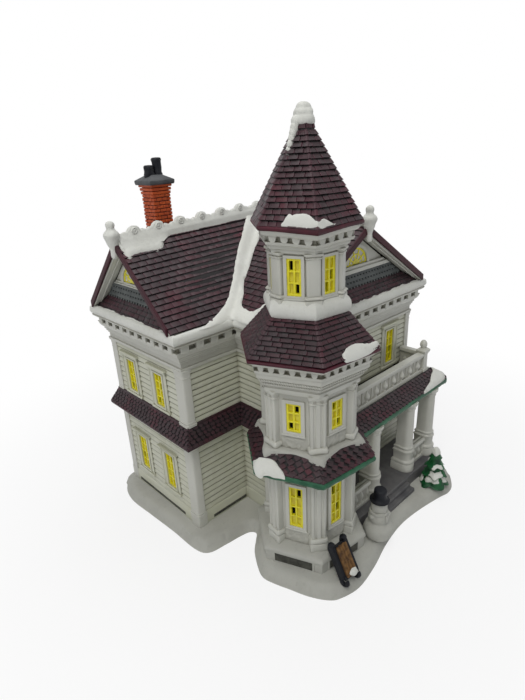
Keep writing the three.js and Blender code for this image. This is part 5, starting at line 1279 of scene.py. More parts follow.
# Skirt roof
clay = Clay()
SKIRT = (31.6, 70.3), (24.4, 78.6)
hex_tiles(clay, *SKIRT, 4, 4.5, 1.1, kind="point", wave=0.08, gap=0.12)
hex_ring(clay, [(31.0, 69.6), (31.8, 69.7), (32.1, 70.4), (31.4, 71.3)], tones=[(0.1, 0.9, 0.4)] * 3, steps=8,
         ripple=0.25)
hips(clay, (SKIRT[0][0] - 0.4, SKIRT[0][1] + 0.4), SKIRT[1], 4, 1.0, 0.35)
put("tower_skirt_tiles", clay, [tile], stands_for=["tower_skirt_roof"], bevel=0.16)
clay = Clay()
hex_ring(clay, [(22.5, 66.2), (29.6, 65.6), (31.4, 65.9), (32.4, 66.9), (32.7, 68.0), (32.4, 69.1),
                (31.2, 70.0)], steps=12, ripple=0.8)
put("tower_skirt_green_trim", clay, [green], bevel=0.3)

# Middle tower storey
clay = Clay()
tower_storey(clay, A_LOW, (76, 115.6), MIDDLE, (25.8, 4.0, 76.2, 112.6, 3.6, 3.6, 5.0, 19),
             panel=(7.2, 79.4, 86.6))
# the moulding's undersides are painted with shade
hex_ring(clay, [(A_LOW, 111.6), (23.8, 111.8), (24.3, 112.5), (24.3, 114.4), (24.0, 114.6), (24.0, 115.6),
                (25.1, 116.0), (25.5, 116.8), (25.5, 117.9), (26.3, 118.2), (27.0, 119.0), (27.0, 120.0),
                (27.7, 120.4), (28.2, 121.2), (28.2, 123.0), (28.9, 123.4), (29.2, 125.0), (27.6, 125.2),
                (27.6, 127.1), (29.4, 127.4), (30.3, 128.4), (30.6, 130.4)],
         shades(21, {3: 0.6, 4: 0.7, 8: 0.65, 11: 0.65, 14: 0.7, 16: 0.5, 17: 0.35, 18: 0.5}), steps=8,
         ripple=0.12)


def spaced(apothem, count):
    """Middles of evenly spaced places along a tower face."""
    span = 2 * apothem * math.tan(math.radians(30))
    return [span * ((i + 0.5) / count - 0.5) for i in range(count)]


def teeth(clay, apothem, z0, z1, reach, count, width):
    """Dentils: rounded teeth under an eave, on five faces."""
    w = width / 2
    for angle in FACES.values():
        for x in spaced(apothem, count):
            pts = []
            for y in (0.5, -reach):
                pts += [(x - w * 1.25, y, z1), (x - w, y, z0 + 0.9), (x - w * 0.5, y, z0),
                        (x + w * 0.5, y, z0), (x + w, y, z0 + 0.9), (x + w * 1.25, y, z1)]
            clay.add(pts, [(6, 7, 8, 9, 10, 11)] + net(1, 5, flip=True), matrix=tower_at(angle, 0, apothem))


def beads(clay, apothem, z, radius, count):
    """A row of small beads along each face."""
    r = radius
    for angle in FACES.values():
        for x in spaced(apothem, count):
            block(clay, tower_at(angle, z, apothem), x - r, x + r, -r, r, -r, r, taper=r * 0.3)


teeth(clay, 27.6, 124.8, 127.4, 1.8, 6, 2.6)
beads(clay, 25.5, 117.3, 0.45, 24)
beads(clay, 27.0, 119.5, 0.45, 24)
put("tower_middle_storey_cast", clay, [trim], stands_for=["tower_middle_storey"], bevel=0.25)

# Middle roof
clay = Clay()
MIDDLE_ROOF = (31.5, 131.6), (17.6, 149.0)
hex_tiles(clay, *MIDDLE_ROOF, 9, TILE, 0.95, wave=0.15)
hips(clay, *MIDDLE_ROOF, 9, 1.7, 0.6)
hex_ring(clay, [(30.2, 129.9), (31.6, 129.4), (32.2, 129.7), (32.5, 130.3), (32.3, 131.0), (31.3, 131.5)],
         slots=[1] * 5, steps=8, ripple=0.2)
put("tower_middle_roof_tiles", clay, [tile, rim_paint], stands_for=["tower_middle_roof"],
    bevel=0.18)

# Upper tower storey
clay = Clay()
hex_ring(clay, [(17.2, 147.6), (18.6, 148.8), (19.5, 150.4), (19.8, 152.4), (19.5, 154.4), (18.6, 155.9),
                (17.4, 156.9), (15.8, 157.4)],
         slots=[1] * 7, steps=6, ripple=0.3)
tower_storey(clay, A_UP, (156, 180), UPPER, (18.9, 3.3, 153.6, 179.3, 4.2, 1.6, 2.9, 14), side=1.6,
             plain=True)
# the moulding's undersides are painted with shade
hex_ring(clay, [(A_UP, 178.7), (17.2, 178.9), (17.6, 179.4), (17.6, 180.6), (18.3, 180.9), (18.7, 181.5),
                (18.7, 182.3), (19.5, 182.6), (20.2, 183.2), (20.5, 184.4), (19.1, 184.6), (19.1, 186.7),
                (20.8, 187.0), (21.9, 187.8), (22.4, 188.7), (22.6, 190.3)],
         shades(15, {3: 0.6, 6: 0.65, 9: 0.5, 10: 0.35, 11: 0.5}), steps=6, ripple=0.1)
teeth(clay, 19.1, 184.2, 187.0, 1.6, 4, 3.0)


def droop(x, y, z):
    """How far the spire's eave hangs at the near corner, as on the hand-made original."""
    toward = max(0.0, math.cos(math.atan2(y - TY, x - TX) - math.radians(TURN))) ** 5
    return 2.0 * toward * min(1.0, math.hypot(x - TX, y - TY) / 26) * max(0.0, 1 - abs(z - 188) / 13)


def sag(clay):
    clay.points = [(x, y, z - droop(x, y, z)) for x, y, z in clay.points]


sag(clay)
put("tower_upper_storey_cast", clay, [trim, snow], stands_for=["tower_upper_storey"], bevel=0.25)

# Spire
clay = Clay()
SPIRE = (23.0, 191.4), (4.1, 229.0)
hex_tiles(clay, *SPIRE, 16, 4.3, 0.95, wave=0.22)
hips(clay, *SPIRE, 16, 1.35, 0.5)
hex_ring(clay, [(21.8, 190.0), (23.1, 189.6), (23.8, 190.0), (24.1, 190.8), (23.8, 191.6), (22.9, 192.1)],
         slots=[1] * 5, steps=6, ripple=0.2)
hex_tiles(clay, (4.4, 226.5), (3.9, 232.6), 2, 2.6, 0.6)
sag(clay)
put("spire_tiles", clay, [tile, rim_paint], stands_for=["spire_roof"], bevel=0.18)

clay = Clay()
lathe(clay, [(0.1, 230.6), (4.4, 230.8), (5.2, 231.8), (5.4, 233.2), (4.9, 234.4), (4.3, 234.9), (4.5, 235.9),
             (4.1, 237.1), (3.4, 237.6), (3.3, 238.4), (2.7, 239.5), (1.4, 240.1), (0.1, 240.2)], 28,
      Matrix.Translation((TX, TY, 0)), lump=0.16)
# snow that runs down the far left hip
for k in range(9):
    t = k / 8
    r = lerp(2.1, 1.2, t)
    x, y = about_tower(lerp(4.3, 11.2, t), math.radians(TURN + CORNERS["left"]))
    lathe(clay, [(0.1, -r * 1.5), (r * 0.75, -r), (r, 0), (r * 0.75, r), (0.1, r * 1.5)], 14,
          Matrix.Translation((x, y, lerp(232.0, 214.5, t))), lump=0.2, seed=k)
put("spire_finial_snow", clay, [snow], stands_for=["spire_finial"], subdiv=1)

# Tower lattices, with the pierced panes of the three seen faces at each storey
STOREYS = (("lower", LOWER, A_LOW), ("middle", MIDDLE, A_LOW), ("upper", UPPER, A_UP))
for face, pierced in (("wing", ({(1, 2)}, {(0, 1)}, {(0, 1)})),
                      ("left", ({(1, 3), (0, 1)}, {(1, 2), (0, 0)}, {(0, 2), (1, 0)})),
                      ("front", ({(0, 3), (1, 1)}, {(0, 2), (1, 0)}, {(0, 0), (1, 1)}))):
    for (level, (width, height, sill, rows), apothem), panes in zip(STOREYS, pierced):
        window(f"tower_{level}_{face}_lattice", tower_at(FACES[face], sill, apothem), width, height, rows,
               panes, f"tower_window_{level}_{face}", bar=1.15)
for level, (width, height, sill, rows), apothem in STOREYS:
    blind_window(f"tower_{level}_porch_lattice", tower_at(FACES["porch"], sill, apothem), width, height, rows)


# Snow


def smooth_loop(points, per=6):
    """Closed Catmull-Rom curve through 2-D points."""
    n = len(points)
    out = []
    for i in range(n):
        p0, p1, p2, p3 = (Vector(points[(i + k - 1) % n]) for k in range(4))
        for s in range(per):
            t = s / per
            out.append(0.5 * ((2 * p1) + (p2 - p0) * t + (2 * p0 - 5 * p1 + 4 * p2 - p3) * t * t
                              + (3 * p1 - 3 * p2 + p3 - p0) * t ** 3))
    return out


def inside(poly, x, y):
    hit = False
    n = len(poly)
    for i in range(n):
        a, b = poly[i], poly[i - 1]
        if (a[1] > y) != (b[1] > y) and x < (b[0] - a[0]) * (y - a[1]) / (b[1] - a[1]) + a[0]:
            hit = not hit
    return hit


def edge_distance(poly, x, y):
    best = 1e9
    n = len(poly)
    for i in range(n):
        ax, ay = poly[i - 1]
        bx, by = poly[i]
        dx, dy = bx - ax, by - ay
        t = max(0, min(1, ((x - ax) * dx + (y - ay) * dy) / (dx * dx + dy * dy + 1e-12)))
        best = min(best, math.hypot(ax + dx * t - x, ay + dy * t - y))
    return best


def blanket(outline, base, thick, radius, step, lumps=0.2, per=6, sink=0.5, jag=0.0):
    """Snow lying on a height field, thick in the middle and rounded at its edge."""
    loop = [tuple(p) for p in smooth_loop(outline, per)]
    if jag:
        loop = [(x + jag * wobble(x, y, 1.3, 0.9), y + jag * wobble(x, y, 7.7, 0.9)) for x, y in loop]
    xs, ys = [p[0] for p in loop], [p[1] for p in loop]
    points = list(loop)
    x = min(xs) + step / 2
    while x < max(xs):
        y = min(ys) + step / 2
        while y < max(ys):
            px, py = x + rng.uniform(-0.2, 0.2) * step, y + rng.uniform(-0.2, 0.2) * step
            if inside(loop, px, py) and edge_distance(loop, px, py) > step * 0.42:
                points.append((px, py))
            y += step
        x += step
    n = len(loop)
    verts, _, faces = delaunay_2d_cdt([Vector(p) for p in points], [], [list(range(n))], 1, 1e-4)[:3]
    top = []
    for v in verts:
        d = edge_distance(loop, v.x, v.y)
        k = min(1.0, d / radius)
        h = thick * math.sqrt(max(0.0, 1 - (1 - k) ** 2))
        h += lumps * k * wobble(v.x, v.y, 0, 0.28)
        top.append((v.x, v.y, base(v.x, v.y) + h))
    clay = Clay()
    clay.add(top, faces)
    # side wall down from the rim
    rim = {}
    for f in faces:
        for a, b in zip(f, list(f[1:]) + [f[0]]):
            rim[(a, b)] = rim.get((a, b), 0) + 1
    sides = [(a, b) for (a, b) in rim if (b, a) not in rim]
    low = {}
    pts, quads = [], []
    for a, b in sides:
        for k in (a, b):
            if k not in low:
                low[k] = len(pts)
                pts.append(top[k])
                pts.append((top[k][0], top[k][1], base(top[k][0], top[k][1]) - sink))
        quads.append((low[b], low[a], low[a] + 1, low[b] + 1))
    clay.add(pts, quads)
    return clay


def clear_roof(x, y):
    return max(roof_z(x, y), 135.2) + 1.15


left_edge = [(-5.8, 31.0), (-1.3, 31.3), (3.5, 31.7), (9, 31.4), (14.1, 30.9), (17.5, 31.8), (20.1, 34.0),
             (23.4, 37.4), (27.0, 39.0), (36.5, 39.2), (50, 39.2), (64.9, 39.2), (75.1, 39.2), (82.2, 38.4),
             (84.6, 37.2), (83.9, 35.6), (79.5, 32.6), (69.0, 25.4), (59.2, 18.5), (52.8, 13.4), (46.5, 8.5),
             (39.3, 3.5), (32.1, -0.5), (22.4, -3.8), (16.9, -5.2), (10.3, -6.6), (9.6, -7.8)]
right_edge = [(20, -7.9), (31.2, -7.9), (31.3, -15), (31.6, -22.0), (37, -23.5), (44.6, -23.0), (43.9, -20.5),
              (40.8, -19.6), (38.4, -15.9), (38.9, -10.8), (40.7, -5.5), (45.3, -2.1), (53.3, 5.7),
              (58.3, 8.6), (66.5, 13.4), (75.3, 18.6), (82.7, 22.0), (91.0, 29.0), (97, 33.8), (106, 34.6),
              (120, 35.2), (140, 35.4), (168, 35.6), (168, 42.4), (140, 42.8), (100, 43.0), (60, 42.8),
              (40, 44.0), (20, 46.4), (0, 46.5), (-5.8, 45)]
clay = blanket(left_edge + right_edge, clear_roof, 1.3, 1.9, 1.5, 0.3, per=4, jag=0.45)
# cresting along the ridge, with a round boss on both sides of each lobe
LOBE, LOBE0, LOBE_R = 15.4, 4.6, 4.0
pts = []
crest0, crest1 = -5.2, MAIN_L + 5.2
n = 260
for i in range(n + 1):
    x = lerp(crest0, crest1, i / n)
    phase = ((x - LOBE0) / LOBE) % 1.0
    u = (phase if phase < 0.5 else phase - 1.0) * LOBE
    lobe = 3.3 * math.sqrt(max(0, 1 - (u / LOBE_R) ** 2)) if abs(u) < LOBE_R else 0
    flare = 1.0 * math.exp(-((abs(u) - 5.4) / 1.5) ** 2)
    ridge = ridge_main(x)
    top = ridge + 4.5 + lobe + flare + 0.25 * wobble(x, 0, 0, 0.5)
    half = 1.5
    for side in (-1, 1):
        # the foot reaches further down at the left end, under the snow there
        apron = 1.3 + 2.6 * max(0.0, min(1.0, (25 - x) / 5))
        foot_z = main_z(x, RIDGE_Y - half - apron) + lerp(1.0, 2.4, (apron - 1.3) / 2.6)
        rows = [(half + apron, foot_z + 0.3 * wobble(x, side, 0, 0.4)), (half + 0.9, ridge + 1.0),
                (half + 0.6, ridge + 2.6), (half, ridge + 3.1), (half * 0.85, top - 1.0), (half * 0.35, top)]
        points = [(x, RIDGE_Y + side * d, z) for d, z in rows]
        pts += points if side < 0 else points[::-1]
m = 2 * len(rows)
clay.add(pts, net(n, m - 1) + [tuple(range(m)), tuple(range(n * m, n * m + m))[::-1]])
for i in range(12):
    x = LOBE0 + LOBE * i
    if x < crest1 - 3:
        for side in (-1, 1):
            at = Matrix.Translation((x, RIDGE_Y + side * 1.2, ridge_main(x) + 5.2))
            lathe(clay, [(1.9, -0.4), (1.9, 0.35), (1.5, 0.7), (1.0, 0.4), (0.5, 0.7), (0.1, 0.8)], 16,
                  at @ Matrix.Rotation(math.pi / 2 * -side, 4, "X"))
put("roof_snow_blanket", clay, [snow], stands_for=["roof_snow"], bevel=0.0)


def gable_post(name, x, y, toward, node):
    """Capped post on a gable's peak, with snow that hangs towards the ridge."""
    clay = Clay()
    base = RIDGE - 7.9
    post = [(0.1, 0), (1.6, 0.3), (2.1, 1.8), (1.6, 4.6), (2.2, 6.4), (3.2, 8.2), (3.4, 10.0), (4.2, 11.6),
            (4.4, 13.0), (3.7, 14.2), (2.5, 15.2), (1.9, 16.0), (2.3, 17.0), (2.4, 18.2), (1.9, 19.4),
            (0.1, 20.1)]
    lathe(clay, raised(post, base), 24, Matrix.Translation((x, y, 0)), lump=0.14, seed=x)
    tx, ty = toward
    for k, (d, r, z) in enumerate(((1.6, 3.0, base + 11.6), (3.6, 2.5, base + 10.4), (5.4, 1.9, base + 9.6))):
        lathe(clay, [(0.1, -r), (r * 0.7, -r * 0.7), (r, 0), (r * 0.7, r * 0.7), (0.1, r)], 14,
              Matrix.Translation((x + tx * d, y + ty * d, z)), lump=0.1, seed=k)
    put(name, clay, [snow], stands_for=[node], subdiv=1)


gable_post("left_gable_finial", -OVER + 0.2, RIDGE_Y, (1, 0), "left_finial")
gable_post("right_gable_finial", MAIN_L + OVER - 0.2, RIDGE_Y, (-1, 0), "right_finial")
gable_post("front_gable_finial", FRONT_X, -FRONT_D - OVER + 0.2, (0, 1), "front_finial")


NORMALS = [math.radians(TURN + 30 + 60 * i) for i in range(6)]


def apothem_of(x, y):
    """Apothem of the hexagon round the tower's axis that passes through a plan point."""
    return max(math.cos(n) * (x - TX) + math.sin(n) * (y - TY) for n in NORMALS)


def cone_z(eave, peak, raise_by):
    """Gives the height over a plan point of a six-sided roof, raised a little."""
    (a0, z0), (a1, z1) = eave, peak
    return lambda x, y: z0 + (a0 - apothem_of(x, y)) * (z1 - z0) / (a0 - a1) + raise_by


def held(points, apothem):
    """Plan points pulled in until none is beyond an apothem of the tower."""
    out = []
    for x, y in points:
        k = min(1.0, apothem / apothem_of(x, y))
        out.append((TX + (x - TX) * k, TY + (y - TY) * k))
    return out


def snow_patch(name, outline, base, thick, radius, step, sink):
    put(name, blanket(outline, base, thick, radius, step, per=3, sink=sink), [snow])


patch = [(19.6, -59.2), (21.0, -59.6), (22.2, -60.1), (23.3, -61.2), (23.6, -62.5), (24.4, -63.7),
         (26.2, -67.6), (26.8, -70.1), (27.4, -73.1), (30.7, -73.2), (33.1, -74.0), (35.3, -75.1),
         (36.3, -75.7), (34.8, -75.9), (31.0, -75.6), (26.8, -75.4), (24.5, -73.6), (23.0, -70.2),
         (21.6, -66.1), (20.2, -61.9)]
eave = cone_z(*SPIRE, 2.3)
snow_patch("spire_snow_patch", held(patch, 23.5), lambda x, y: eave(x, y) - droop(x, y, eave(x, y)), 1.3, 1.3,
           0.6, 0.6)

patch = [(33.7, -81.8), (35.8, -81.3), (38.0, -80.8), (42.1, -80.9), (46.1, -81.6), (49.4, -82.8),
         (52.8, -83.6), (56.5, -84.0), (59.0, -84.9), (57.1, -85.7), (53.8, -85.8), (49.8, -85.9),
         (44.7, -85.5), (40.1, -85.0), (36.4, -84.4), (33.7, -83.8)]
snow_patch("middle_roof_snow_patch", patch, cone_z(*MIDDLE_ROOF, 1.2), 1.2, 1.4, 0.7, 0.6)

patch = [(9.6, -43.2), (9.6, -46.5), (11.1, -50.1), (12.7, -53.6), (13.2, -56.4), (12.9, -58.8),
         (12.8, -61.2), (12.3, -63.2), (11.8, -64.0), (10.7, -61.5), (9.2, -58.5), (8.4, -56.0), (7.0, -53.7),
         (6.0, -53.4), (5.1, -51.8), (5.1, -49.3), (6.7, -46.3)]
snow_patch("skirt_snow_patch", patch, cone_z(*SKIRT, 1.5), 1.4, 1.8, 0.7, 1.3)

# Snow round the foot of the middle storey, in pointed waves over the shingles
collar = []
for i in range(6):
    n = math.radians(TURN - 30 + 60 * i)
    for u, a in ((-14.6, 27.9), (-11.5, 26.5), (-7.5, 25.7), (-3.5, 25.2), (0.5, 24.8), (4.5, 25.1),
                 (8.5, 25.6), (12.0, 26.8)):
        collar.append((TX + a * math.cos(n) - u * math.sin(n), TY + a * math.sin(n) + u * math.cos(n)))
skirt = cone_z(*SKIRT, 1.9)
clay = blanket(collar, lambda x, y: min(SKIRT[1][1] + 0.5, skirt(x, y)), 0.9, 1.2, 1.0, 0.25, per=3, sink=2.2)
put("skirt_snow_collar", clay, [ground])

# Ground
GROUND = [(-7.5, 80), (-13, 64), (-12, 40), (-10.5, 15), (-10, -6), (-6, -15), (6, -17.4), (16.3, -18.7),
          (22.6, -20.4), (24.6, -24.0), (20.5, -28.0), (13.4, -34.5), (6.4, -45.2), (3.9, -52), (5.4, -59.3),
          (8.4, -67.8), (12.2, -78.5), (17.6, -87.5), (23.3, -91.5), (35.7, -94.3), (53.2, -92.0),
          (72, -87.4), (92, -84.9), (111, -86), (131.3, -89.4), (141, -91.6), (150, -89.4), (158, -82.6),
          (167, -66), (172, -40), (172.5, 20), (171, 74), (162, 85.5), (80, 87), (4, 86)]


def ground_top(x, y):
    """How far the snow rises over its plain height, near the house and the tower."""
    d = 0 if inside(PLAN, x, y) else edge_distance(PLAN, x, y)
    t = math.hypot(x - TX, y - TY)
    rise = 1.0 * math.exp(-d / 2.2) + 0.9 * math.exp(-max(0, t - 31) / 2.4)
    return rise + 0.5 * wobble(x, y, 3, 0.06)


clay = blanket(GROUND, lambda x, y: 0.0, SNOW - 0.15, 5.2, 2.4, 0.0, per=5, sink=0.0)
clay.points = [(x, y, z + (ground_top(x, y) if z > 6.2 else 0)) for x, y, z in clay.points]
underside = [(*p, 0.0) for p in smooth_loop(GROUND, 5)]
clay.add(underside, [tuple(range(len(underside)))[::-1]])
put("snow_ground", clay, [ground], stands_for=["snow_base"])

# Porch
clay = Clay()
FLOOR_TOP, STEP_H, PORCH_Y = 14.5, 2.5, -65.0
PORCH_Z = FLOOR_TOP - 0.2
block(clay, None, TX, 164, -72.5, -39.2, 5, FLOOR_TOP, taper=0.25)
for i, front in enumerate((-75.4, -78.3)):
    block(clay, None, 88 - 0.6 * i, 118.7 + 0.6 * i, front, -72, 5, FLOOR_TOP - STEP_H * (i + 1), taper=0.2)
put("porch_floor_stone", clay, [stone], stands_for=["porch_floor"], bevel=0.45, segments=3)


def column(name, x, node):
    """Porch column: half round in front, flat at the back."""
    clay = Clay()
    z0, z1, arc, back = PORCH_Z, 66.2, 14, 6.6
    foot = [(1.3, 0), (1.3, 5.2), (0.9, 5.8), (1.2, 6.4), (1.35, 7.2), (1.0, 8.0), (0.3, 8.5), (0.1, 9.2),
            (0.3, 14.4), (0.75, 15.0), (0.75, 15.8), (0.2, 16.2), (-0.1, 17.0), (0.35, 17.6), (0.35, 18.3),
            (-0.35, 18.9), (-0.55, 20)]
    head = [(-0.75, -8), (-0.8, -5.6), (-0.3, -5.0), (-0.3, -4.4), (-0.6, -4.0), (0.2, -2.6), (0.8, -1.8),
            (0.9, 0)]
    levels = []
    for grow, z in raised(foot, z0) + raised(head, z1):
        r = 4.5 + grow
        turns = [math.pi * (1 + i / arc) for i in range(arc + 1)]
        levels.append([(x + r * math.cos(a), PORCH_Y + r * math.sin(a), z) for a in turns]
                      + [(x + r, PORCH_Y + back + grow, z), (x - r, PORCH_Y + back + grow, z)])
    loft(clay, levels)
    put(name, clay, [trim], stands_for=[node], bevel=0.2, smooth=42)


# The columns stand where the photograph shows them, up to 2.6 mm from their solids
column("left_column_cast", 88.5, "left_porch_column")
column("middle_column_cast", 127.8, "middle_porch_column")
column("right_column_cast", 154.4, "right_porch_column")


def vase(clay, x, y, z, h, fat=1.75, seg=14):
    """A turned baluster of height h."""
    lathe(clay, [(0.1, z), (1.25, z), (1.25, z + h * 0.06), (0.7, z + h * 0.12), (1.2, z + h * 0.24),
                 (fat, z + h * 0.4), (fat * 0.9, z + h * 0.54), (0.75, z + h * 0.76), (0.65, z + h * 0.84),
                 (1.2, z + h * 0.93), (1.25, z + h), (0.1, z + h)], seg,
          Matrix.Translation((x, y, 0)))


def rail(name, x0, x1, node, count):
    clay = Clay()
    z0, z1, y = PORCH_Z, 29.0, PORCH_Y
    # the panel behind the balusters is painted with shade
    block(clay, None, x0, x1, y - 0.6, y + 0.6, z0, z1, tone=(0.5, 0.6, 0))
    block(clay, None, x0, x1, y - 1.8, y + 1.8, z0, z0 + 2.6)
    block(clay, None, x0, x1, y - 1.9, y + 1.9, z1 - 2.7, z1)
    for i in range(count):
        vase(clay, lerp(x0, x1, (i + 0.5) / count), y, z0 + 2.4, z1 - z0 - 4.8)
    put(name, clay, [trim], stands_for=[node], bevel=0.35)


rail("left_rail_cast", 62, 85, "left_porch_rail", 4)
rail("right_rail_cast", 135.3, 151.7, "right_porch_rail", 3)

# Porch roof with its green edge
clay = Clay()
EAVE_Y, EAVE_X, EAVE_Z, DECK, INSET = -68.4, 170.0, 69.4, 76.6, 8.8
deck_x, deck_y = EAVE_X - INSET, EAVE_Y + INSET
corner, deck_corner = (EAVE_X, EAVE_Y, EAVE_Z), (deck_x, deck_y, DECK)
tile_field(clay, (TX, EAVE_Y, EAVE_Z), corner, deck_corner, (TX, deck_y, DECK), 5, 3.7, 0.8, kind="scale",
           keep=lambda p: p.x > TX + 14)
tile_field(clay, corner, (EAVE_X, -40, EAVE_Z), (deck_x, -40, DECK), deck_corner, 5, 3.7, 0.8, kind="scale")
block(clay, None, TX, deck_x, deck_y - 0.4, -39.4, DECK - 1.2, DECK, slot=1)
put("porch_roof_tiles", clay, [tile, trim], stands_for=["porch_roof"], bevel=0.15)
clay = Clay()
sections = []
edge_profile = ((-4, 66.4), (-1.6, 64.9), (-0.3, 65.0), (0.4, 66.3), (0.4, 68.5), (-0.4, 69.5), (-4, 69.6))
for i in range(81):
    t = i / 80
    x = lerp(TX + 20, EAVE_X, min(1, t / 0.8))
    y = EAVE_Y if t <= 0.8 else lerp(EAVE_Y, -39.8, (t - 0.8) / 0.2)
    nx, ny = (0, -1) if t < 0.79 else ((0.7, -0.7) if t < 0.815 else (1, 0))
    w = 0.55 * wobble(x, y, 0, 0.35)
    sections.append([(x + nx * out, y + ny * out, z + w * (2 if k == 2 else 1))
                     for k, (out, z) in enumerate(edge_profile)])
loft(clay, sections)
put("porch_green_edge", clay, [green], bevel=0.0)


def porch_z(x, y):
    """Height of the porch roof's tiles, a little over the eave outside it."""
    d = max(-0.6, min(INSET, EAVE_X - x, y - EAVE_Y))
    return EAVE_Z + d * (DECK - EAVE_Z) / INSET + 1.0


patch = [(138, -69.2), (143, -67.6), (150.4, -66.2), (154.4, -64.6), (158.0, -63.2), (162.0, -61.6),
         (163.5, -57.0), (165, -51), (167.4, -47.5), (170.2, -48), (170.6, -58), (170.3, -64), (168.6, -67.8),
         (165, -69.0), (156, -69.3), (146, -69.4)]
snow_patch("porch_roof_snow_patch", patch, porch_z, 1.2, 1.6, 0.9, 1.0)
clay = Clay()
block(clay, None, TX, EAVE_X - 2.2, EAVE_Y + 1.8, -39.4, 64.6, 68.6)
put("porch_ceiling", clay, [trim], bevel=0.5)

# Balcony
clay = Clay()
BY, BX = -57.0, 155.4
z0, z1 = DECK - 0.6, 90.2
# the panels behind the balusters, and the small blocks between them, are painted with shade
block(clay, None, TX + 12, BX, BY - 0.7, BY + 0.9, z0, z1, tone=(0.5, 0.7, 0))
block(clay, None, TX + 12, BX, BY - 1.9, BY + 1.9, z0, z0 + 2.9)
block(clay, None, TX + 12, BX, BY - 1.7, BY + 1.7, z1 - 3.2, z1 - 1.8)
block(clay, None, TX + 12, BX, BY - 2.3, BY + 2.3, z1 - 1.9, z1 + 0.1)
block(clay, None, BX - 0.8, BX + 0.8, BY, -40, z0, z1, tone=(0.5, 0.7, 0))
block(clay, None, BX - 1.8, BX + 1.8, BY, -40, z0, z0 + 2.9)
block(clay, None, BX - 2.1, BX + 2.1, BY, -40, z1 - 2.4, z1 + 0.1)
x = BX - 8.2
while x > TX + 14:
    vase(clay, x, BY - 0.6, z0 + 2.4, z1 - z0 - 5.2, 2.1, 18)
    block(clay, None, x - 5.2, x - 4.4, BY - 1.3, BY, z0 + 2.4, z1 - 3, tone=(0.5, 0.9, 0))
    x -= 9.6
y = BY + 6
while y < -42:
    vase(clay, BX + 0.6, y, z0 + 2.4, z1 - z0 - 5.2, 1.9, 18)
    y += 7


def square(half, z):
    return [(BX - half, BY - half, z), (BX + half, BY - half, z), (BX + half, BY + half, z),
            (BX - half, BY + half, z)]


loft(clay, [square(2.9, z0), square(2.9, z0 + 2.6), square(2.4, z0 + 3.2), square(2.3, z1 - 1.6),
            square(2.8, z1 - 0.4), square(3.4, z1 + 0.6), square(3.5, z1 + 1.8), square(2.6, z1 + 2.6),
            square(1.6, z1 + 3.4)])
lathe(clay, [(0.1, z1 + 3.0), (1.6, z1 + 3.1), (1.9, z1 + 3.7), (2.4, z1 + 4.8), (2.4, z1 + 6.2),
             (1.8, z1 + 7.6), (1.0, z1 + 8.4), (0.1, z1 + 8.6)],
      20, Matrix.Translation((BX, BY, 0)))
put("balcony_cast", clay, [trim], stands_for=["balcony_balustrade"], bevel=0.35)

# Door
clay = Clay()
block(clay, door, -6.3, 6.3, 1.2, 3.0, 0.2, 29.8)
for low, high in ((3, 12.5), (15.5, 27)):
    border(clay, door, (-3.4, 3.4, low + 0.9, high - 0.9), (-4.4, 4.4, low, high), 0.6, 1.6)
lathe(clay, [(0.1, -0.6), (0.6, -0.5), (0.8, 0.1), (0.5, 0.6), (0.1, 0.9)], 12,
      door @ Matrix.Translation((4.9, 0.6, 14)) @ Matrix.Rotation(math.pi / 2, 4, "X"))
put("door_leaf", clay, [door_paint], stands_for=["front_door"], bevel=0.25)

# Chimney
clay = Clay()
CX0, CX1, CY0, CY1, CTOP = 25.2, 37.1, 47.8, 60.3, 205.6
BAND = CTOP - 5.4
base_z = main_z(CX0, CY1) - 1
block(clay, None, CX0 + 0.5, CX1 - 0.5, CY0 + 0.5, CY1 - 0.5, base_z, CTOP, slot=1)
COURSE, BRICK = 2.05, 4.0
row = 0
z = base_z
while z < BAND + 0.3:
    for axis, lo, hi, fixed, depth in (("x", CX0, CX1, CY0, 1), ("x", CX0, CX1, CY1, -1),
                                       ("y", CY0, CY1, CX0, 1), ("y", CY0, CY1, CX1, -1)):
        u = lo - (BRICK / 2 if row % 2 else 0)
        while u < hi - 0.2:
            a, b = max(lo, u) + 0.2, min(hi, u + BRICK) - 0.2
            if b - a > 0.5:
                out = rng.uniform(-0.1, 0.16)
                f0, f1 = sorted((fixed - depth * out, fixed + depth * 1.2))
                args = (a, b, f0, f1) if axis == "x" else (f0, f1, a, b)
                block(clay, None, *args, z + 0.32, min(z + COURSE - 0.14, BAND + 0.8),
                      tone=(rng.random(), rng.uniform(0.7, 1.0), 0))
            u += BRICK
    z += COURSE
    row += 1


def rectangle(x0, x1, y0, y1, grow, z):
    return [(x0 - grow, y0 - grow, z), (x1 + grow, y0 - grow, z), (x1 + grow, y1 + grow, z),
            (x0 - grow, y1 + grow, z)]


def cap_level(grow, z):
    return rectangle(CX0, CX1, CY0, CY1, grow, z)


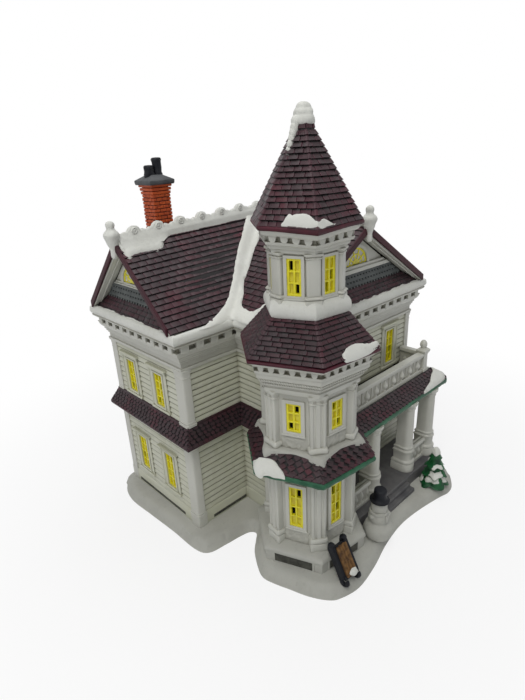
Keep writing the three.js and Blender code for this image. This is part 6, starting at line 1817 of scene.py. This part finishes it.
for grow, low, high in ((0.25, BAND + 1.0, BAND + 2.6), (0.55, BAND + 3.0, BAND + 4.6),
                        (0.95, BAND + 5.0, CTOP + 1.2)):
    loft(clay, [cap_level(grow - 0.25, low), cap_level(grow, low + 0.3), cap_level(grow, high)])
put("chimney_bricks", clay, [brick, mortar], stands_for=["chimney_stack"], bevel=0.22)
clay = Clay()
loft(clay, [cap_level(1.8, CTOP + 0.9), cap_level(2.2, CTOP + 1.3), cap_level(2.4, CTOP + 3.0),
            cap_level(2.1, CTOP + 3.5), cap_level(-2.6, CTOP + 6.2)])
put("chimney_cap_cast", clay, [cap_grey], stands_for=["chimney_cap"], bevel=0.15)
POT_X = (CX0 + CX1) / 2
for name, x, h, node in (("short_pot", POT_X - 2.9, 7.4, "short_chimney_pot"),
                         ("tall_pot", POT_X + 2.8, 11.3, "tall_chimney_pot")):
    clay = Clay()
    z = CTOP + 5.4
    h -= 1.4
    lathe(clay, [(0.1, z - 0.3), (2.9, z - 0.2), (3.0, z + 1.2), (2.7, z + 2.2), (2.6, z + h * 0.5),
                 (2.8, z + h - 2.0), (2.9, z + h - 1.0), (2.5, z + h - 0.2), (1.8, z + h + 0.1),
                 (0.1, z + h + 0.2)], 22,
          Matrix.Translation((x, (CY0 + CY1) / 2, 0)), lump=0.2, seed=x)
    put(name + "_cast", clay, [black], stands_for=[node], bevel=0.15)

# Snowman
clay = Clay()
SX, SY = 70.0, -82.5
here = Matrix.Translation((SX, SY, SNOW))
lathe(clay, [(0.1, -0.5), (7.2, -0.5), (8.5, 1.2), (8.9, 3.6), (8.5, 6.2), (7.1, 8.6), (5.6, 9.8),
             (5.2, 10.6), (5.8, 11.6), (6.1, 13.4), (5.8, 15.2), (4.8, 16.8), (4.4, 17.4), (4.6, 18.4),
             (4.8, 20.4), (4.6, 22.6), (4.0, 24.4), (3.0, 25.4), (0.1, 25.6)], 28, here, lump=0.08)
facing = here @ Matrix.Rotation(-0.5, 4, "Z")
# scarf round the neck and its two ends
scarf = [(5.2, 16.0), (5.7, 16.7), (5.6, 17.8), (5.0, 18.3), (4.2, 18.2), (4.2, 16.2)]
rings = [[(r * (1 + 0.03 * math.sin(5 * t)) * math.cos(t), r * math.sin(t), z + 0.25 * math.sin(3 * t))
          for r, z in scarf] for t in [2 * math.pi * k / 28 for k in range(28)]]
loft(clay, rings + [rings[0]], facing, caps=False)
block(clay, facing, 0.6, 3.0, -6.6, -4.8, 10.8, 17.2, taper=0.2)
for side in (-1, 1):
    arm = (facing @ Matrix.Translation((side * 5.4, -2.0, 15.4)) @ Matrix.Rotation(side * 0.42, 4, "Y")
           @ Matrix.Rotation(0.8, 4, "X"))
    lathe(clay, [(0.1, -7.6), (1.6, -7.3), (2.1, -6.2), (2.0, -5.2), (1.5, -4.6), (1.75, -4.0), (1.8, -1.8),
                 (1.4, 0.2), (0.1, 0.8)], 14, arm)
# the snowman is in the greyer ground snow, as painted shade
put("snowman_cast", clay, [ground], stands_for=["snowman_body"], subdiv=1)
clay = Clay()
hat = here @ Matrix.Translation((0, 0, 24.6)) @ Matrix.Rotation(0.06, 4, "X")
lathe(clay, [(0.1, -0.3), (5.5, -0.1), (6.0, 0.4), (5.8, 1.1), (4.4, 1.4), (3.9, 2.0), (3.7, 4.2), (3.9, 7.0),
             (3.6, 7.7), (0.1, 7.9)], 28, hat, lump=0.03)
put("snowman_hat_cast", clay, [black], stands_for=["snowman_hat"], subdiv=1)

# Tree
clay = Clay()
here = Matrix.Translation((135.6, -82.6, SNOW))
TIERS = [(0.0, 9.2, 4.4, 8.4), (7.2, 7.5, 3.4, 8.2), (13.6, 6.0, 2.2, 7.6), (19.6, 4.2, 0.9, 7.2)]


def bough(tier, a, t, out=0.0):
    """Point of one tier: t runs from the drooping rim up to the neck."""
    z, r0, r1, h = TIERS[tier]
    t = min(1.0, max(0.0, t))
    sway = math.sin(5 * a + tier * 1.9) + 0.6 * math.sin(9 * a + tier * 0.7)
    rough = 0.1 * wobble(math.cos(a) * 3, math.sin(a) * 3, z + t * 4)
    r = lerp(r0, r1, t ** 0.75) * (1 + 0.09 * sway * (1 - t * 0.7) + rough) + out
    drop = -1.0 * sway * (1 - t) ** 2 + 0.4 * wobble(a * 2, t * 5, tier)
    return (r * math.cos(a), r * math.sin(a), z + 0.6 + h * t + drop * 0.6 + out * 0.5)


for k, (z, r0, r1, h) in enumerate(TIERS):
    seg = 40
    levels = [[(r0 * 0.5 * math.cos(2 * math.pi * j / seg), r0 * 0.5 * math.sin(2 * math.pi * j / seg),
                z + 1.2) for j in range(seg)]]
    for t in (0.0, 0.06, 0.16, 0.3, 0.45, 0.6, 0.8, 1.0):
        levels.append([bough(k, 2 * math.pi * j / seg, t) for j in range(seg)])
    loft(clay, levels, here)
put("pine_needles", clay, [leaf], stands_for=["pine_tree"], smooth=60)
clay = Clay()
# snow on the boughs: tier, middle angle, half angle, lowest and highest share of the tier
SEEN = math.radians(-155)
for k, mid, half, t0, t1 in ((0, SEEN - 0.2, 0.95, 0.34, 0.95), (1, SEEN + 0.25, 0.9, 0.0, 0.5),
                             (2, SEEN + 0.4, 0.85, 0.0, 0.36), (0, SEEN + 1.35, 0.3, 0.2, 0.8),
                             (0, SEEN - 1.5, 0.4, 0.0, 0.5), (1, SEEN + 3.1, 0.8, 0.0, 0.5),
                             (0, SEEN + 2.6, 0.6, 0.1, 0.7), (2, SEEN - 2.4, 0.7, 0.1, 0.5)):
    na, nt = 14, 8
    pts = []
    for i in range(na + 1):
        for j in range(nt + 1):
            u, v = i / na, j / nt
            dome = math.sqrt(max(0.0, 1 - (2 * u - 1) ** 4)) * math.sqrt(max(0.0, 1 - (2 * v - 1) ** 4))
            a = mid + (2 * u - 1) * half * (0.85 + 0.2 * wobble(v * 3, k, mid))
            pts.append(bough(k, a, lerp(t0, t1, v) + 0.06 * wobble(u * 4, mid, 2), 1.0 * dome - 0.25))
    clay.add([here @ Vector(p) for p in pts], net(na, nt))
z = TIERS[3][0]
levels = []
for r, zz in raised(((2.4, 3.2), (2.9, 3.6), (2.7, 5.2), (2.0, 7.2), (1.2, 8.2), (0.2, 8.6)), z):
    level = []
    for a in [2 * math.pi * j / 26 for j in range(26)]:
        lumpy = r * (1 + 0.07 * math.sin(4 * a))
        level.append((lumpy * math.cos(a), lumpy * math.sin(a), zz + 0.5 * math.sin(3 * a) * (zz < z + 5)))
    levels.append(level)
loft(clay, levels, here)
put("pine_snow", clay, [snow], smooth=70, subdiv=1)

# Sled
clay = Clay()
lean = (Matrix.Translation((31.4, -90.4, SNOW + 1.9)) @ Matrix.Rotation(math.radians(86), 4, "Z")
        @ Matrix.Rotation(math.radians(-60), 4, "Y") @ Matrix.Translation((0, 0, -2)))


def tube(clay, path, radius, matrix, seg=10, slot=0):
    """A round bar along a path."""
    rings = []
    for i, p in enumerate(path):
        p = Vector(p)
        q = Vector(path[min(i + 1, len(path) - 1)]) - Vector(path[max(i - 1, 0)])
        q.normalize()
        s = q.cross(Vector((0, 1, 0))).normalized()
        t = q.cross(s)
        turns = [2 * math.pi * k / seg for k in range(seg)]
        rings.append([p + (s * math.cos(a) + t * math.sin(a)) * radius for a in turns])
    loft(clay, rings, matrix, slot=slot)


for y in (-4.6, 4.6):
    path = [(-1.0 + 1.6 * math.cos(a), y, 2.6 + 2.2 * math.sin(a))
            for a in [math.radians(d) for d in range(60, 271, 30)]]
    path += [(x, y, 0.5) for x in (2, 6, 10, 14, 17)]
    path += [(18.4, y, 1.0), (19.6, y, 2.4)]
    tube(clay, path, 1.15, lean)
    lathe(clay, [(0.1, -1.9), (1.4, -1.5), (1.9, 0), (1.4, 1.5), (0.1, 1.9)], 14,
          lean @ Matrix.Translation((19.6, y, 3.2)))
    block(clay, lean, 1, 18.5, y - 1.2, y + 1.2, 1.0, 4.6)
block(clay, lean, 0.5, 2.6, -5.2, 5.2, 2.6, 5.0)
block(clay, lean, 16.4, 18.6, -5.2, 5.2, 2.6, 5.0)
SLATS = 8
for i in range(SLATS):
    y = lerp(-3.7, 3.7, (i + 0.5) / SLATS)
    block(clay, lean, 1.4 - 0.2 * (i % 2), 17.8 + 0.2 * (i % 3), y - 0.4, y + 0.4, 4.4, 5.7 + 0.2 * (i % 2),
          slot=1)
# the deck under the slats is painted with shade
block(clay, lean, 1.8, 17.4, -3.8, 3.8, 4.2, 5.2, tone=(0.5, 0.3, 0), slot=1)
put("sled_cast", clay, [black, wood], stands_for=["sled"], bevel=0.3)
clay = Clay()
lathe(clay, [(0.1, -0.9), (2.2, -0.6), (2.6, 0.2), (2.0, 0.9), (0.1, 1.2)], 20,
      lean @ Matrix.Translation((2.6, -0.8, 6.0)) @ Matrix.Diagonal((0.9, 1.1, 1, 1)), lump=0.3)
put("sled_snow", clay, [snow], subdiv=1)

# Lamp
clay = Clay()
seat = 1.3
lathe(clay, [(0.1, seat), (18.5, seat), (18.5, seat + 1.2), (18.0, seat + 1.9), (7.4, seat + 2.0),
             (6.9, seat + 2.8), (6.5, seat + 5.4), (5.9, seat + 6.0), (1.9, seat + 6.0), (1.8, seat + 2.2),
             (0.1, seat + 2.1)], 48, to_lamp)
inner = seat - 22
lathe(clay, [(6.3, inner + 15), (6.3, inner), (9.2, inner), (9.5, inner + 0.5), (9.5, seat + 0.4),
             (0.1, seat + 0.4)], 40, to_lamp)
for turn in (0, math.pi):
    m = Matrix.Translation((LAMP_X, MAIN_D, LAMP_Z)) @ Matrix.Rotation(turn, 4, "Y")
    line = [(9.0, seat - 1), (11.0, seat - 1), (13.6, seat - 2.8), (13.6, seat - 5.4), (10.4, seat - 14.6),
            (9.0, seat - 14.6), (9.0, seat - 16), (11.1, seat - 16), (15.0, seat - 6), (15.0, seat - 3),
            (12.8, seat + 0.4), (9.0, seat + 0.4)]
    loft(clay, [[(x, y, z) for x, y in line] for z in (-3, 3)], m)
put("lamp_holder_moulded", clay, [plastic], body="lamp", stands_for=["lamp_holder"],
    bevel=0.2)
clay = Clay()
mouth = inner
shell = [(0.1, mouth - 1.5), (5.9, mouth - 1.5)]
for k in range(10):
    z = mouth - 1.2 + k * 1.15
    shell += [(6.0, z), (5.6, z + 0.55)]
shell += [(5.6, mouth + 10.8), (3.6, mouth + 13.4), (1.8, mouth + 13.8), (1.8, mouth + 14.6),
          (0.1, mouth + 15)]
lathe(clay, shell, 36, to_lamp)
put("bulb_screw_shell", clay, [brass], body="bulb", stands_for=["bulb_base"])
clay = Clay()
neck = mouth - 1.5
lathe(clay, [(5.5, neck + 0.1), (6.2, neck - 2.6), (8.6, neck - 8.4), (10.1, neck - 13), (10.5, neck - 17),
             (9.9, neck - 22), (8.2, neck - 27), (5.8, neck - 32), (3.4, neck - 36.2), (1.6, neck - 38.8),
             (0.1, neck - 40)], 40, to_lamp)
put("bulb_envelope", clay, [glass], body="bulb", stands_for=["bulb_glass"], subdiv=1)

# Stage, light and camera
floor_mesh = bpy.data.meshes.new("floor")
S = 6.0
floor_mesh.from_pydata([(-S, -S, 0), (S, -S, 0), (S, S, 0), (-S, S, 0)], [], [(0, 1, 2, 3)])
floor = bpy.data.objects.new("floor", floor_mesh)
bpy.context.scene.collection.objects.link(floor)
white = bpy.data.materials.new("paper")
white.use_nodes = True
nt = white.node_tree
bsdf = nt.nodes["Principled BSDF"]
bsdf.inputs["Base Color"].default_value = (0.9, 0.9, 0.9, 1)
bsdf.inputs["Roughness"].default_value = 0.9


def seen(tree):
    """1 for what the camera sees straight, in a reflection or through glass."""
    light_path = tree.nodes.new("ShaderNodeLightPath")
    total = light_path.outputs["Is Camera Ray"]
    for ray in ("Is Glossy Ray", "Is Transmission Ray"):
        total = add_node(tree, "Math", {0: total, 1: light_path.outputs[ray]}, operation="MAXIMUM")
    return total


# near the object the floor keeps a part of its own shading, and so the shadow
glow = add_node(nt, "Emission", {"Color": (1, 1, 1, 1), "Strength": 1.0})
reach = add_node(nt, "VectorMath", {0: add_node(nt, "TexCoord", {}, "Object")}, "Value", operation="LENGTH")
share = add_node(nt, "MapRange", {"Value": reach, "From Min": 0.12, "From Max": 0.34, "To Min": 0.78,
                                  "To Max": 1.0},
                 interpolation_type="SMOOTHSTEP")
part = add_node(nt, "Math", {0: seen(nt), 1: share}, operation="MULTIPLY")
mix = add_node(nt, "MixShader", {"Fac": part, 1: bsdf.outputs[0], 2: glow})
nt.links.new(mix, nt.nodes["Material Output"].inputs["Surface"])
floor_mesh.materials.append(white)

world = bpy.data.worlds.new("studio")
bpy.context.scene.world = world
world.use_nodes = True
wn = world.node_tree
back = wn.nodes["Background"]
back.inputs["Color"].default_value = (0.92, 0.95, 1.0, 1)
back.inputs["Strength"].default_value = 0.26
view_back = add_node(wn, "Background", {"Color": (1, 1, 1, 1), "Strength": 1.0})
mix = add_node(wn, "MixShader", {"Fac": seen(wn), 1: back.outputs[0], 2: view_back})
wn.links.new(mix, wn.nodes["World Output"].inputs["Surface"])


def area(name, at, aim, size, power, color=(1, 1, 1)):
    lamp = bpy.data.lights.new(name, "AREA")
    lamp.shape = "DISK"
    lamp.size = size
    lamp.energy = power
    lamp.color = color
    holder = bpy.data.objects.new(name, lamp)
    holder.location = at
    holder.rotation_euler = (Vector(aim) - Vector(at)).to_track_quat("-Z", "Y").to_euler()
    bpy.context.scene.collection.objects.link(holder)


area("key", (-0.52, -0.34, 1.0), (0, 0, 0.08), 0.5, 4.2, (1.0, 0.985, 0.96))
area("fill", (-0.95, 0.05, 0.5), (0, 0, 0.1), 0.7, 0.6)
area("top", (0.1, 0.1, 1.1), (0, 0, 0.1), 0.7, 3.5)

camera = bpy.data.cameras.new("camera")
camera.sensor_width = 36
camera.lens = 25.0
camera.clip_start = 0.01
eye = bpy.data.objects.new("camera", camera)
# solved from points of the photograph
right = (0.72218946, -0.69001309, -0.04821107)
up = (0.2941713, 0.24331086, 0.92426353)
back_dir = (-0.62602366, -0.6816757, 0.37869859)
spot = ((-129.635 + DX) / 1000, (-206.478 + DY) / 1000, 221.548 / 1000)
eye.matrix_world = Matrix([(right[i], up[i], back_dir[i], spot[i]) for i in range(3)] + [(0, 0, 0, 1)])
bpy.context.scene.collection.objects.link(eye)
bpy.context.scene.camera = eye

bpy.context.scene.view_settings.view_transform = "Standard"
